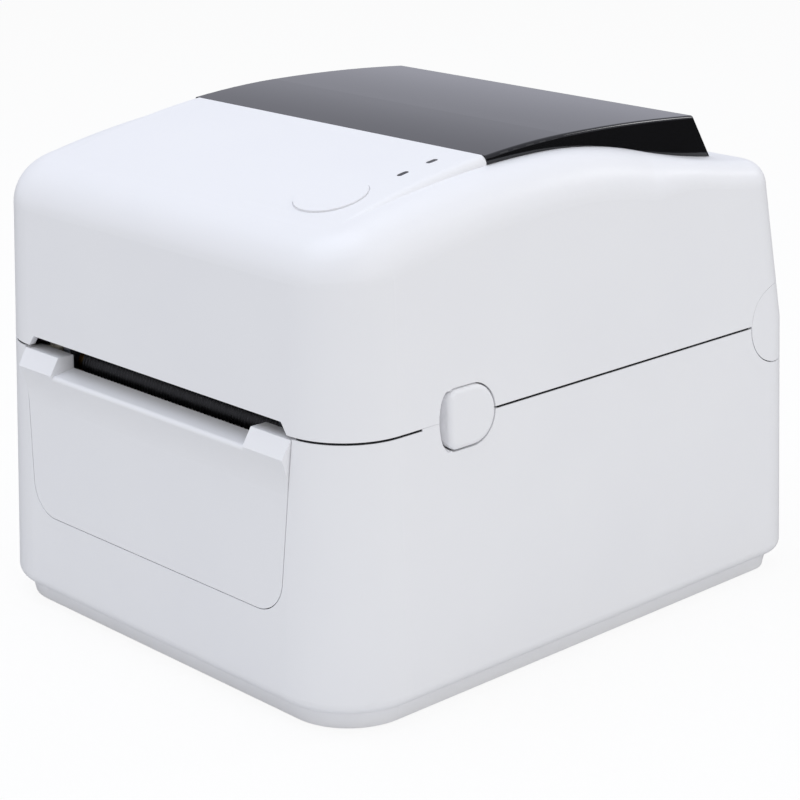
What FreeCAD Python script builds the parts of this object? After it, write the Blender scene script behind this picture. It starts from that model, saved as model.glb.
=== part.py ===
"""Desktop thermal label printer: a white clamshell case with a black window on top.

Millimetres. +Z is up, -Y is the front where the labels come out, z = 0 is the surface it stands on.
Every length is a cell of the sheet or is worked out from those cells, and is bound with an expression.
"""

import FreeCAD
import Part
import Sketcher

import math
import operator
import os

Vector = FreeCAD.Vector
Rotation = FreeCAD.Rotation

DIMENSIONS = (
    # Case: the two drafted shells and the plinth.
    ("case_width", 209.5),
    ("case_depth", 246.0),
    ("case_bottom", 7.0),
    ("case_bottom_round", 4.5),
    ("seam_height", 103.7),
    ("seam_gap", 0.9),
    ("wall", 2.6),
    ("draft_angle", 2.32),
    ("front_corner", 30.0),
    ("rear_corner", 18.0),
    ("foot_stand", 0.4),
    ("plinth_inset", 4.6),
    ("plinth_slope", 12.0),
    ("plinth_floor", 2.5),
    ("plinth_wall", 3.0),
    ("foot_radius", 9.0),
    ("foot_sink", 1.5),
    ("foot_inset", 28.0),
    # Roof of the cover: the side shoulders and the raised spine between them.
    ("shoulder_height", 183.4),
    ("shoulder_setback", 117.0),
    ("shoulder_front_radius", 400.0),
    ("shoulder_rear_radius", 200.0),
    ("shoulder_rear_run", 52.0),
    ("shoulder_tail_radius", 350.0),
    ("roof_round", 17.0),
    ("rear_round", 10.0),
    ("rear_round_run", 45.0),
    ("rear_lean", 10.0),
    ("crown_rise", 4.6),
    ("crown_setback", 131.0),
    ("crown_front_radius", 373.0),
    ("crown_rear_radius", 800.0),
    ("spine_width", 160.0),
    ("spine_depth", 30.0),
    ("spine_round", 3.0),
    ("spine_front", 22.0),
    ("window_front", 91.5),
    ("window_rear", 44.0),
    ("window_tail", 11.5),
    ("window_drop", 18.0),
    ("window_wall", 2.2),
    ("window_round", 1.2),
    ("window_seat", 8.0),
    ("seat_gap", 0.15),
    # Label slot, front panel and tear ledge.
    ("slot_width", 148.0),
    ("slot_slant", 3.0),
    ("slot_height", 4.4),
    ("panel_top_width", 153.0),
    ("panel_bottom_width", 143.0),
    ("panel_bottom", 39.0),
    ("panel_round", 13.0),
    ("panel_gap", 0.35),
    ("panel_flange", 4.0),
    ("panel_flange_wall", 1.6),
    ("lip_height", 20.7),
    ("lip_flare", 13.5),
    ("lip_back", 10.7),
    ("tab_drop", 0.4),
    ("ledge_width", 111.0),
    ("ledge_rise", 1.5),
    ("ledge_drop", 0.3),
    ("ledge_round", 1.5),
    ("tear_bar_wall", 0.8),
    ("tear_bar_height", 9.0),
    ("tear_bar_pitch", 2.0),
    ("tear_bar_tooth", 0.8),
    # Rear hinge.
    ("hinge_setback", 15.0),
    ("hinge_drop", 0.8),
    ("hinge_radius", 15.3),
    ("hinge_gap", 0.4),
    ("hinge_cap_depth", 8.0),
    ("hinge_lug_wall", 4.0),
    ("hinge_lug_radius", 9.0),
    ("hinge_lug_height", 24.0),
    ("hinge_bracket_wall", 6.0),
    ("hinge_bracket_radius", 6.0),
    ("hinge_bracket_width", 22.0),
    ("hinge_bracket_setback", 18.0),
    ("hinge_pin_radius", 3.0),
    ("running_gap", 0.05),
    # Side latches.
    ("latch_front", 53.0),
    ("latch_length", 22.0),
    ("latch_height", 21.5),
    ("latch_proud", 0.9),
    ("latch_wall", 7.0),
    ("latch_round", 2.0),
    ("latch_corner", 3.5),
    ("latch_gap", 0.45),
    ("latch_swing", 4.9),
    ("latch_front_gap", 0.6),
    ("latch_housing_wall", 2.4),
    ("latch_pin_radius", 1.5),
    ("latch_pin_inset", 6.0),
    ("latch_hook", 2.2),
    ("scoop_length", 4.5),
    ("scoop_depth", 5.0),
    # Control panel on the spine.
    ("button_x", 57.5),
    ("button_setback", 40.0),
    ("button_radius", 13.0),
    ("button_gap", 0.3),
    ("button_proud", 0.5),
    ("button_height", 5.3),
    ("button_flange", 1.4),
    ("button_flange_wall", 1.2),
    ("button_stem", 3.0),
    ("button_travel", 0.8),
    ("board_depth", 11.0),
    ("board_wall", 1.6),
    ("board_width", 38.0),
    ("board_front", 22.0),
    ("board_length", 68.0),
    ("post_radius", 2.5),
    ("key_width", 6.0),
    ("key_height", 2.4),
    ("light_x", 67.0),
    ("light_first", 64.0),
    ("light_second", 77.5),
    ("light_length", 4.6),
    ("light_width", 1.9),
    # Print mechanism.
    ("platen_setback", 22.0),
    ("platen_drop", 6.5),
    ("platen_radius", 7.5),
    ("platen_length", 112.0),
    ("shaft_radius", 4.0),
    ("shaft_end", 2.0),
    ("bush_wall", 2.0),
    ("bush_flange", 1.2),
    ("cheek_gap", 4.0),
    ("cheek_wall", 4.0),
    ("cheek_front", 12.5),
    ("cheek_rear", 81.0),
    ("cheek_step", 64.0),
    ("cheek_ear", 3.0),
    ("chassis_floor", 2.4),
    ("bulkhead_wall", 2.2),
    ("guide_front", 31.0),
    ("guide_step", 2.5),
    ("guide_flat", 51.0),
    ("guide_drop", 11.0),
    ("guide_radius", 40.0),
    ("guide_wall", 2.2),
    ("guide_bar", 3.0),
    ("sensor_width", 12.0),
    ("sensor_depth", 8.0),
    ("sensor_height", 3.5),
    ("gear_module", 0.8),
    ("gear_width", 7.0),
    ("gear_stand", 5.0),
    ("gear_backlash", 0.14),
    ("platen_teeth", 24),
    ("idler_teeth", 30),
    ("motor_teeth", 18),
    ("idler_angle", -40.0),
    ("motor_angle", -60.0),
    ("idler_pin_radius", 3.0),
    ("motor_size", 42.0),
    ("motor_length", 34.0),
    ("motor_chamfer", 5.0),
    ("motor_shaft_radius", 2.5),
    ("motor_shaft_depth", 12.0),
    ("motor_boss_radius", 11.0),
    # Media bay.
    ("bay_setback", 145.0),
    ("roll_rise", 56.0),
    ("tray_side_gap", 4.3),
    ("tray_front_gap", 1.3),
    ("tray_rear_gap", 15.0),
    ("tray_height", 26.0),
    ("tray_wall", 2.4),
    ("tray_round", 6.0),
    ("holder_spread", 114.0),
    ("holder_travel", 38.0),
    ("holder_spare", 2.0),
    ("holder_wall", 5.0),
    ("holder_width", 44.0),
    ("holder_top_radius", 17.0),
    ("holder_stem", 15.0),
    ("holder_gap", 0.3),
    ("rack_low", 14.5),
    ("rack_height", 5.0),
    ("rack_width", 6.25),
    ("rack_reach", 32.0),
    ("rack_module", 1.0),
    ("rack_backlash", 0.16),
    ("centring_teeth", 18),
    ("centring_pin_radius", 3.0),
    ("centring_flange", 6.0),
    ("hub_radius", 12.5),
    ("hub_tip_radius", 11.0),
    ("hub_length", 9.0),
    ("hub_flange_radius", 16.0),
    ("hub_flange", 2.0),
    ("axle_radius", 4.0),
    ("axle_head_radius", 5.5),
    ("axle_head", 1.5),
    # Print head in the cover.
    ("frame_rise", 22.3),
    ("frame_wall", 2.5),
    ("frame_side_gap", 4.2),
    ("frame_front", 15.0),
    ("frame_rear", 75.0),
    ("frame_round", 20.0),
    ("ledge_reach", 4.0),
    ("ledge_wall", 3.0),
    ("ledge_run", 30.0),
    ("head_gap", 0.35),
    ("heater_width", 110.0),
    ("heater_depth", 15.0),
    ("heater_wall", 1.25),
    ("sink_width", 112.0),
    ("sink_depth", 26.0),
    ("sink_setback", 7.5),
    ("sink_base", 5.0),
    ("sink_fin", 6.0),
    ("sink_fin_wall", 1.6),
    ("sink_fin_pitch", 4.0),
    ("bracket_wall", 1.5),
    ("bracket_width", 119.0),
    ("bracket_rear", 53.0),
    ("pivot_setback", 46.0),
    ("pivot_rise", 16.3),
    ("pivot_radius", 2.0),
    ("pivot_ear", 5.0),
    ("lug_wall", 3.0),
    ("lug_gap", 1.0),
    ("spring_x", 30.0),
    ("spring_width", 9.0),
    ("spring_wall", 0.6),
    ("spring_run", 24.0),
    # Electronics and the rear connectors.
    ("main_board_setback", 23.0),
    ("main_board_left", 40.0),
    ("main_board_right", 62.0),
    ("main_board_low", 14.0),
    ("main_board_high", 80.0),
    ("main_board_edge", 5.0),
    ("boss_radius", 3.5),
    ("socket_low", 22.0),
    ("usb_x", 8.0),
    ("usb_width", 12.0),
    ("usb_height", 11.0),
    ("usb_mouth_width", 8.6),
    ("usb_mouth_height", 8.0),
    ("usb_mouth_depth", 9.0),
    ("usb_tongue_width", 5.6),
    ("usb_tongue_height", 3.2),
    ("power_x", 42.0),
    ("power_width", 11.0),
    ("power_bore_radius", 3.2),
    ("power_bore_depth", 9.0),
    ("power_pin_radius", 1.0),
    ("socket_gap", 0.4),
    ("switch_x", -60.0),
    ("switch_z", 44.0),
    ("rocker_radius", 7.2),
    ("rocker_width", 13.0),
    ("rocker_hollow", 3.0),
    ("rocker_tilt", 8.0),
    ("rocker_gap", 0.3),
    ("rocker_pin_radius", 1.5),
    ("rocker_pin", 1.6),
    ("switch_wall", 2.0),
    ("switch_flange", 3.0),
    ("switch_flange_wall", 1.2),
    ("switch_depth", 16.0),
)


class Size:
    """A number worked out from the sheet, with the expression that binds a property to it."""

    def __init__(self, value, text):
        self.value = value
        self.text = text

    def __add__(self, other):
        return combine(self, "+", other, operator.add)

    def __radd__(self, other):
        return combine(other, "+", self, operator.add)

    def __sub__(self, other):
        return combine(self, "-", other, operator.sub)

    def __rsub__(self, other):
        return combine(other, "-", self, operator.sub)

    def __mul__(self, other):
        return combine(self, "*", other, operator.mul)

    def __rmul__(self, other):
        return combine(other, "*", self, operator.mul)

    def __truediv__(self, other):
        return combine(self, "/", other, operator.truediv)

    def __neg__(self):
        return combine(0, "-", self, operator.sub)


def as_size(number):
    if isinstance(number, Size):
        return number
    return Size(float(number), f"{float(number):.6f}")


def combine(left, sign, right, work):
    left = as_size(left)
    right = as_size(right)
    return Size(work(left.value, right.value), f"({left.text} {sign} {right.text})")


def square_root(number):
    return Size(math.sqrt(number.value), f"sqrt({number.text})")


def tangent(angle):
    return Size(math.tan(math.radians(angle.value)), f"tan({angle.text} * 1deg)")


def arcsine(ratio):
    return Size(math.degrees(math.asin(ratio.value)), f"asin({ratio.text})")


doc = FreeCAD.newDocument("label_printer")
sheet = doc.addObject("Spreadsheet::Sheet", "sizes")
for row, (alias, number) in enumerate(DIMENSIONS, 1):
    sheet.set(f"A{row}", alias)
    sheet.set(f"B{row}", str(number))
    sheet.setAlias(f"B{row}", alias)
doc.recompute()


class Cells:
    """Reads a cell by its alias, as in dim.case_width."""

    def __getattr__(self, alias):
        return Size(float(sheet.get(alias)), f"sizes.{alias}")


dim = Cells()


def bind(item, name, number):
    item.setExpression(name, as_size(number).text)


def move(item, x, y, z):
    bind(item, "Placement.Base.x", x)
    bind(item, "Placement.Base.y", y)
    bind(item, "Placement.Base.z", z)


def box(name, x, y, z):
    """A block between two limits on each axis."""
    block = doc.addObject("Part::Box", name)
    bind(block, "Length", x[1] - x[0])
    bind(block, "Width", y[1] - y[0])
    bind(block, "Height", z[1] - z[0])
    move(block, x[0], y[0], z[0])
    return block


ROD_TURN = {
    "x": Rotation(Vector(0, 1, 0), 90),
    "y": Rotation(Vector(1, 0, 0), -90),
    "z": Rotation(),
}


def rod(name, axis, radius, span, at):
    """A cylinder along an axis from span[0] to span[1], at the two other coordinates."""
    cylinder = doc.addObject("Part::Cylinder", name)
    bind(cylinder, "Radius", radius)
    bind(cylinder, "Height", span[1] - span[0])
    cylinder.Placement = FreeCAD.Placement(Vector(), ROD_TURN[axis])
    corner = list(at)
    corner.insert("xyz".index(axis), span[0])
    move(cylinder, *corner)
    return cylinder


def fuse(name, *pieces):
    union = doc.addObject("Part::MultiFuse", name)
    union.Shapes = list(pieces)
    union.Refine = True
    return union


def cut(name, base, *tools):
    """The base less every tool."""
    result = doc.addObject("Part::Cut", name)
    result.Base = base
    result.Tool = tools[0] if len(tools) == 1 else fuse(f"{name}_tools", *tools)
    result.Refine = True
    return result


def common(name, first, second):
    result = doc.addObject("Part::Common", name)
    result.Base = first
    result.Tool = second
    result.Refine = True
    return result


def mirror(name, source):
    """The same piece on the other side of the middle plane X = 0."""
    result = doc.addObject("Part::Mirroring", name)
    result.Source = source
    result.Normal = Vector(1, 0, 0)
    return result


def pair(name, source):
    """A piece and its mirror image in one group."""
    group = doc.addObject("Part::Compound", name)
    group.Links = [source, mirror(f"{name}_mirrored", source)]
    return group


def new_sketch(body, plane, offset=0):
    """A sketch on one of the body's own origin planes, moved along its normal."""
    sketch = body.newObject("Sketcher::SketchObject", f"{body.Name}_sketch")
    support = next(item for item in body.Origin.OriginFeatures if item.Role == f"{plane}_Plane")
    sketch.AttachmentSupport = [(support, "")]
    sketch.MapMode = "FlatFace"
    bind(sketch, "AttachmentOffset.Base.z", offset)
    return sketch


def constrain(sketch, number, *constraint):
    """Adds a dimension to the sketch and binds it."""
    number = as_size(number)
    index = sketch.addConstraint(Sketcher.Constraint(*constraint, number.value))
    sketch.setExpression(f"Constraints[{index}]", number.text)


def middle_of_arc(start, end, radius):
    """The point halfway along a minor arc that bulges to the left of its chord, or right if negative."""
    chord = end - start
    half = chord.Length / 2
    sagitta = abs(radius) - math.sqrt(radius * radius - half * half)
    left = Vector(-chord.y, chord.x, 0).normalize()
    return (start + end) / 2 + left * math.copysign(sagitta, radius)


def draw_outline(sketch, vertices):
    """A closed outline of (u, v) corners; a third value is the radius of the arc to the next corner."""
    corners = [Vector(as_size(item[0]).value, as_size(item[1]).value, 0) for item in vertices]
    starts = []
    ends = []
    for index, item in enumerate(vertices):
        first = corners[index]
        last = corners[(index + 1) % len(corners)]
        if len(item) == 3:
            radius = as_size(item[2])
            arc = Part.Arc(first, middle_of_arc(first, last, radius.value), last)
            edge = sketch.addGeometry(arc)
            constrain(sketch, Size(abs(radius.value), f"abs({radius.text})"), "Radius", edge)
        else:
            edge = sketch.addGeometry(Part.LineSegment(first, last))
        to_start = sketch.getPoint(edge, 1).distanceToPoint(first)
        forward = to_start < sketch.getPoint(edge, 2).distanceToPoint(first)
        starts.append((edge, 1 if forward else 2))
        ends.append((edge, 2 if forward else 1))
    for index, item in enumerate(vertices):
        sketch.addConstraint(Sketcher.Constraint("Coincident", *ends[index - 1], *starts[index]))
        constrain(sketch, item[0], "DistanceX", -1, 1, *starts[index])
        constrain(sketch, item[1], "DistanceY", -1, 1, *starts[index])


def draw_rounded_rectangle(sketch, x, y, front_radius, rear_radius):
    """A rectangle with one radius at its two front corners and another at its two rear ones."""
    radii = [as_size(front_radius), as_size(front_radius), as_size(rear_radius), as_size(rear_radius)]
    left, right = (as_size(limit).value for limit in x)
    front, rear = (as_size(limit).value for limit in y)
    corners = [Vector(left, front), Vector(right, front), Vector(right, rear), Vector(left, rear)]
    edges = []
    for index, corner in enumerate(corners):
        following = corners[(index + 1) % 4]
        along = (following - corner).normalize()
        start = corner + along * radii[index].value
        end = following - along * radii[(index + 1) % 4].value
        edges.append(sketch.addGeometry(Part.LineSegment(start, end)))
        radius = radii[(index + 1) % 4]
        centre = end + Vector(-along.y, along.x) * radius.value
        first_angle = math.atan2(-along.x, along.y)
        circle = Part.Circle(centre, Vector(0, 0, 1), radius.value)
        edges.append(sketch.addGeometry(Part.ArcOfCircle(circle, first_angle, first_angle + math.pi / 2)))
        constrain(sketch, radius, "Radius", edges[-1])
    for index, edge in enumerate(edges):
        sketch.addConstraint(Sketcher.Constraint("Tangent", edge, 2, edges[(index + 1) % 8], 1))
    for index, direction in ((0, "Horizontal"), (2, "Vertical"), (4, "Horizontal"), (6, "Vertical")):
        sketch.addConstraint(Sketcher.Constraint(direction, edges[index]))
    constrain(sketch, y[0], "DistanceY", -1, 1, edges[0], 1)
    constrain(sketch, x[1], "DistanceX", -1, 1, edges[2], 1)
    constrain(sketch, y[1], "DistanceY", -1, 1, edges[4], 1)
    constrain(sketch, x[0], "DistanceX", -1, 1, edges[6], 1)


def pad(body, sketch, length, taper=0, symmetric=False):
    feature = body.newObject("PartDesign::Pad", f"{body.Name}_pad")
    feature.Profile = sketch
    feature.SideType = "Symmetric" if symmetric else "One side"
    bind(feature, "Length", length)
    bind(feature, "TaperAngle", taper)
    return feature


def pocket(body, sketch, length, taper=0):
    feature = body.newObject("PartDesign::Pocket", f"{body.Name}_pocket")
    feature.Profile = sketch
    bind(feature, "Length", length)
    bind(feature, "TaperAngle", taper)
    return feature


def round_edges(body, feature, radius, wanted):
    """Rounds the edges of the feature that the test picks out."""
    doc.recompute()
    names = [f"Edge{index}" for index, edge in enumerate(feature.Shape.Edges, 1) if wanted(edge)]
    fillet = body.newObject("PartDesign::Fillet", f"{body.Name}_fillet")
    fillet.Base = (feature, names)
    bind(fillet, "Radius", radius)
    return fillet


def new_body(name):
    return doc.addObject("PartDesign::Body", name)


def prism(name, plane, outline, length, offset=0, symmetric=False):
    """A padded outline: along +X from YZ, along -Y from XZ and along +Z from XY."""
    body = new_body(name)
    sketch = new_sketch(body, plane, offset)
    draw_outline(sketch, outline)
    pad(body, sketch, length, symmetric=symmetric)
    return body


def near(number, target):
    return abs(number - as_size(target).value) < 0.01


# Levels and planes that several pieces share.
SLOPE = tangent(dim.draft_angle)
CASE_TOP = dim.seam_height - dim.seam_gap / 2
COVER_BOTTOM = dim.seam_height + dim.seam_gap / 2
CASE_FLOOR = dim.case_bottom + dim.wall
CROWN_TOP = dim.shoulder_height + dim.crown_rise
FORM_TOP = CROWN_TOP + dim.wall
CLEAR = dim.case_depth
FRONT = -dim.case_depth / 2
REAR = dim.case_depth / 2


def side_at(z, inset=0):
    """Distance of the drafted side wall from the middle plane at a height."""
    return dim.case_width / 2 - SLOPE * (z - dim.case_bottom) - inset


def front_at(z, inset=0):
    """Y of the drafted front wall at a height."""
    return SLOPE * (z - dim.case_bottom) + inset - dim.case_depth / 2


def rear_at(z, inset=0):
    """Y of the drafted rear wall of the lower case at a height."""
    return dim.case_depth / 2 - SLOPE * (z - dim.case_bottom) - inset


def plan_corner(inset, corner, level):
    """A plan corner's radius, drawn in by the inset and by the draft up to a level."""
    return corner - inset - SLOPE * (level - dim.case_bottom)


def case_form(name, inset, low, high):
    """The drafted outer form of the case between two heights, drawn in by the inset."""
    body = new_body(name)
    sketch = new_sketch(body, "XY", low)
    draw_rounded_rectangle(
        sketch,
        (-side_at(low, inset), side_at(low, inset)),
        (front_at(low, inset), rear_at(low, inset)),
        plan_corner(inset, dim.front_corner, low),
        plan_corner(inset, dim.rear_corner, low),
    )
    pad(body, sketch, high - low, taper=-dim.draft_angle)
    return body


def roof_outline(inset, bottom):
    """The side view under the shoulders: two arcs over the hump and a hollow one towards the rear."""
    front = FRONT
    rear = REAR
    hump = FRONT + dim.shoulder_setback
    top = dim.shoulder_height - inset
    front_radius = dim.shoulder_front_radius - inset
    rear_radius = dim.shoulder_rear_radius - inset
    tail_radius = dim.shoulder_tail_radius + inset
    ratio = dim.shoulder_rear_run / dim.shoulder_rear_radius
    level = square_root(1 - ratio * ratio)
    turn_y = hump + rear_radius * ratio
    turn_z = top - rear_radius + rear_radius * level
    tail_y = turn_y + tail_radius * ratio
    tail_z = turn_z + tail_radius * level

    def on_front(y):
        return top - front_radius + square_root(front_radius * front_radius - (y - hump) * (y - hump))

    def on_tail(y):
        return tail_z - square_root(tail_radius * tail_radius - (y - tail_y) * (y - tail_y))

    split = rear - dim.rear_round_run
    return [
        (front, bottom),
        (rear, bottom),
        (rear, on_tail(rear), tail_radius),
        (split, on_tail(split), tail_radius),
        (turn_y, turn_z, -rear_radius),
        (hump, top, -front_radius),
        (front, on_front(front)),
    ]


def roof_prism(name, inset, bottom):
    """The space under the shoulders, with the tail kept as two faces for the changing round."""
    body = new_body(name)
    sketch = new_sketch(body, "YZ")
    draw_outline(sketch, roof_outline(inset, bottom))
    pad(body, sketch, dim.case_width, symmetric=True).Refine = False
    return body


def is_roof(face):
    surface = face.Surface
    return surface.TypeId == "Part::GeomCylinder" and abs(surface.Axis.x) > 0.99


def cover_walls(name, inset, bottom):
    """Drafted walls with a leaning rear one, and rounds down the rear corners."""
    body = new_body(name)
    plan = new_sketch(body, "XY", bottom)
    side = side_at(bottom, inset)
    front = front_at(bottom, inset)
    rear = rear_at(bottom, inset)
    corner = plan_corner(inset, dim.front_corner, bottom)
    draw_outline(
        plan,
        [
            (-side + corner, front),
            (side - corner, front, -corner),
            (side, front + corner),
            (side, rear),
            (-side, rear),
            (-side, front + corner, -corner),
        ],
    )
    pad(body, plan, FORM_TOP - bottom, taper=-dim.draft_angle)
    lean = tangent(dim.rear_lean)
    seam_rear = rear_at(dim.seam_height, inset)
    wedge = new_sketch(body, "YZ")
    draw_outline(
        wedge,
        [
            (seam_rear - lean * (bottom - dim.seam_height), bottom),
            (seam_rear + CLEAR, bottom),
            (seam_rear + CLEAR, FORM_TOP),
            (seam_rear - lean * (FORM_TOP - dim.seam_height), FORM_TOP),
        ],
    )
    leaning = pocket(body, wedge, dim.case_width * 2)
    leaning.SideType = "Symmetric"

    def is_rear_corner(edge):
        ends = [vertex.Point for vertex in edge.Vertexes]
        return min(end.y for end in ends) > 0 and abs(ends[0].z - ends[-1].z) > dim.wall.value

    round_edges(body, leaning, plan_corner(inset, dim.rear_corner, dim.seam_height), is_rear_corner)
    return body


def cover_form(name, inset, bottom):
    """The cover's form: its walls under the roof, rounded all the way about the roof's edge."""
    walls = cover_walls(f"{name}_walls", inset, bottom)
    sharp = doc.addObject("Part::Common", f"{name}_sharp")
    sharp.Base = walls
    sharp.Tool = roof_prism(f"{name}_roof", inset, bottom)
    doc.recompute()
    shape = sharp.Shape
    side_round = (dim.roof_round - inset).value
    rear_round = (dim.rear_round - inset).value
    split = (dim.case_depth / 2 - dim.rear_round_run).value
    edges = []
    for index, edge in enumerate(shape.Edges, 1):
        faces = shape.ancestorsOfType(edge, Part.Face)
        if sum(is_roof(face) for face in faces) != 1:
            continue
        first = edge.Vertexes[0].Point.y
        last = edge.Vertexes[-1].Point.y
        first_round = side_round if first < split + dim.wall.value else rear_round
        last_round = side_round if last < split + dim.wall.value else rear_round
        edges.append((index, first_round, last_round))
    fillet = doc.addObject("Part::Fillet", name)
    fillet.Base = sharp
    fillet.Edges = edges
    return fillet


def round_part(name, base, radius, wanted):
    """Rounds the edges of a finished piece that the test picks out."""
    doc.recompute()
    fillet = doc.addObject("Part::Fillet", name)
    fillet.Base = base
    size = as_size(radius).value
    fillet.Edges = [(index, size, size) for index, edge in enumerate(base.Shape.Edges, 1) if wanted(edge)]
    return fillet


# Plinth and feet.
PLINTH_TOP = dim.case_bottom
PLINTH_BOTTOM = dim.foot_stand
FOOT_X = dim.case_width / 2 - dim.foot_inset
FOOT_Y = dim.case_depth / 2 - dim.foot_inset


def four(name, make):
    """Four copies of a piece at the corners (x, y) of a rectangle."""
    places = [(1, 1), (1, -1), (-1, -1), (-1, 1)]
    return [make(f"{name}_{index}", *place) for index, place in enumerate(places, 1)]


def group(name, pieces):
    result = doc.addObject("Part::Compound", name)
    result.Links = pieces
    return result


def make_base_plate():
    rise = PLINTH_TOP - PLINTH_BOTTOM
    inset = dim.plinth_inset + rise * tangent(dim.plinth_slope)
    body = new_body("plinth_form")
    for low, drawn_in in ((PLINTH_BOTTOM, inset), (PLINTH_TOP, inset + dim.plinth_wall)):
        sketch = new_sketch(body, "XY", low)
        draw_rounded_rectangle(
            sketch,
            (drawn_in - dim.case_width / 2, dim.case_width / 2 - drawn_in),
            (drawn_in - dim.case_depth / 2, dim.case_depth / 2 - drawn_in),
            dim.front_corner - drawn_in,
            dim.rear_corner - dim.plinth_inset,
        )
        if low is PLINTH_BOTTOM:
            pad(body, sketch, rise, taper=dim.plinth_slope)
        else:
            pocket(body, sketch, rise - dim.plinth_floor)
    recesses = four(
        "foot_recess",
        lambda name, x, y: rod(
            name,
            "z",
            dim.foot_radius + dim.seat_gap,
            (PLINTH_BOTTOM - dim.foot_stand, PLINTH_BOTTOM + dim.foot_sink),
            (FOOT_X * x, FOOT_Y * y),
        ),
    )
    return cut("base_plate", body, *recesses)


def make_feet():
    return group(
        "rubber_feet",
        four(
            "foot",
            lambda name, x, y: rod(
                name,
                "z",
                dim.foot_radius,
                (0, PLINTH_BOTTOM + dim.foot_sink),
                (FOOT_X * x, FOOT_Y * y),
            ),
        ),
    )


# Hinge line at the rear, and the heights of the label path.
HINGE_Y = REAR - dim.hinge_setback
HINGE_Z = dim.seam_height - dim.hinge_drop
HINGE = (HINGE_Y, HINGE_Z)
CAP_X = side_at(dim.seam_height) - dim.hinge_cap_depth
LUG_X = CAP_X - dim.hinge_lug_wall
BRACKET_X = LUG_X - dim.lug_gap / 2 - dim.hinge_bracket_wall
WINDOW_FRONT = FRONT + dim.window_front
WINDOW_REAR = REAR - dim.window_rear
LIP_Y = FRONT
LIP_BACK = LIP_Y + dim.lip_back
LIP_LOW = dim.seam_height - dim.lip_height
LIP_FACE = LIP_LOW + dim.lip_flare
LEDGE_FRONT = LIP_FACE - dim.ledge_drop
LEDGE_BACK = LEDGE_FRONT + dim.ledge_rise
TAB_TOP = CASE_TOP - dim.tab_drop


def panel_prism(name, grow):
    """The front panel's outline, taller than the case and grown by a gap, through the front wall."""
    body = new_body(name)
    sketch = new_sketch(body, "XZ", dim.case_depth / 2 - dim.lip_back - dim.wall)
    top = CASE_TOP + dim.wall
    low = dim.panel_bottom - grow
    half_top = dim.panel_top_width / 2 + grow
    half_low = dim.panel_bottom_width / 2 + grow
    draw_outline(sketch, [(-half_low, low), (half_low, low), (half_top, top), (-half_top, top)])
    block = pad(body, sketch, dim.lip_back + dim.wall * 3)
    round_edges(
        body,
        block,
        dim.panel_round + grow,
        lambda edge: edge.Length < dim.panel_bottom.value
        and max(vertex.Point.z for vertex in edge.Vertexes) < dim.panel_bottom.value + 0.01,
    )
    return body


def make_front_panel():
    """A flush plate in the case's front, held by a flange behind the wall, with the tear ledge on top."""
    seat = dim.wall + dim.seat_gap
    skin = cut(
        "panel_skin",
        case_form("panel_skin_outer", 0, dim.case_bottom, TAB_TOP),
        case_form("panel_skin_inner", seat + dim.panel_flange_wall, dim.case_bottom, CASE_TOP),
    )
    plate = common("panel_plate", panel_prism("panel_outline", 0), skin)
    rim_skin = cut(
        "panel_rim_skin",
        case_form("panel_rim_outer", seat, dim.case_bottom, TAB_TOP),
        case_form("panel_rim_inner", seat + dim.panel_flange_wall, dim.case_bottom, CASE_TOP),
    )
    rim = common("panel_rim", panel_prism("panel_rim_outline", dim.panel_flange), rim_skin)
    flare_y = front_at(LIP_LOW) - LIP_Y
    flare_z = LIP_FACE - LIP_LOW
    flare = (flare_y * flare_y + flare_z * flare_z) / (flare_y * 2)
    profile = [
        (front_at(LIP_LOW, dim.wall / 2), LIP_LOW),
        (front_at(LIP_LOW), LIP_LOW, -flare),
        (LIP_Y, LIP_FACE),
        (front_at(TAB_TOP), TAB_TOP),
        (LIP_BACK, TAB_TOP),
        (LIP_BACK, LEDGE_BACK - dim.tear_bar_height),
    ]
    ledge = prism("panel_ledge", "YZ", profile, dim.panel_top_width + dim.wall, symmetric=True)
    lip = common("panel_lip", ledge, panel_prism("panel_lip_outline", 0))
    rise = (LEDGE_BACK - LEDGE_FRONT) / dim.lip_back
    ramp = [
        (LIP_Y - dim.wall, LEDGE_FRONT - rise * dim.wall),
        (LIP_BACK + dim.wall, LEDGE_BACK + rise * dim.wall),
        (LIP_BACK + dim.wall, CASE_TOP + dim.wall),
        (LIP_Y - dim.wall, CASE_TOP + dim.wall),
    ]
    path = prism("panel_path", "YZ", ramp, dim.ledge_width, symmetric=True)
    raw = cut("panel_raw", fuse("panel_blank", plate, rim, lip), path)

    def is_ledge_edge(edge):
        ends = [vertex.Point for vertex in edge.Vertexes]
        on_edge = all(abs(end.z - LEDGE_FRONT.value) < dim.ledge_drop.value for end in ends)
        return on_edge and near(edge.Length, dim.ledge_width)

    return round_part("front_panel", raw, dim.ledge_round, is_ledge_edge)


def make_tear_bar():
    """A thin steel strip behind the ledge with a row of teeth along its top edge."""
    low = (LEDGE_BACK - dim.tear_bar_height).value
    top = LEDGE_BACK.value
    half = dim.ledge_width.value / 2 - dim.seat_gap.value
    count = int(2 * half / dim.tear_bar_pitch.value)
    pitch = 2 * half / count
    points = [Vector(half, 0, low), Vector(-half, 0, low)]
    for index in range(count):
        points.append(Vector(index * pitch - half, 0, top - dim.tear_bar_tooth.value))
        points.append(Vector((index + 0.5) * pitch - half, 0, top))
    points.append(Vector(half, 0, top - dim.tear_bar_tooth.value))
    face = Part.Face(Part.makePolygon(points + points[:1]))
    bar = doc.addObject("Part::Feature", "tear_bar")
    bar.Shape = face.extrude(Vector(0, dim.tear_bar_wall.value, 0))
    bar.Placement = FreeCAD.Placement(Vector(0, LIP_BACK.value, 0), Rotation())
    return bar


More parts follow.
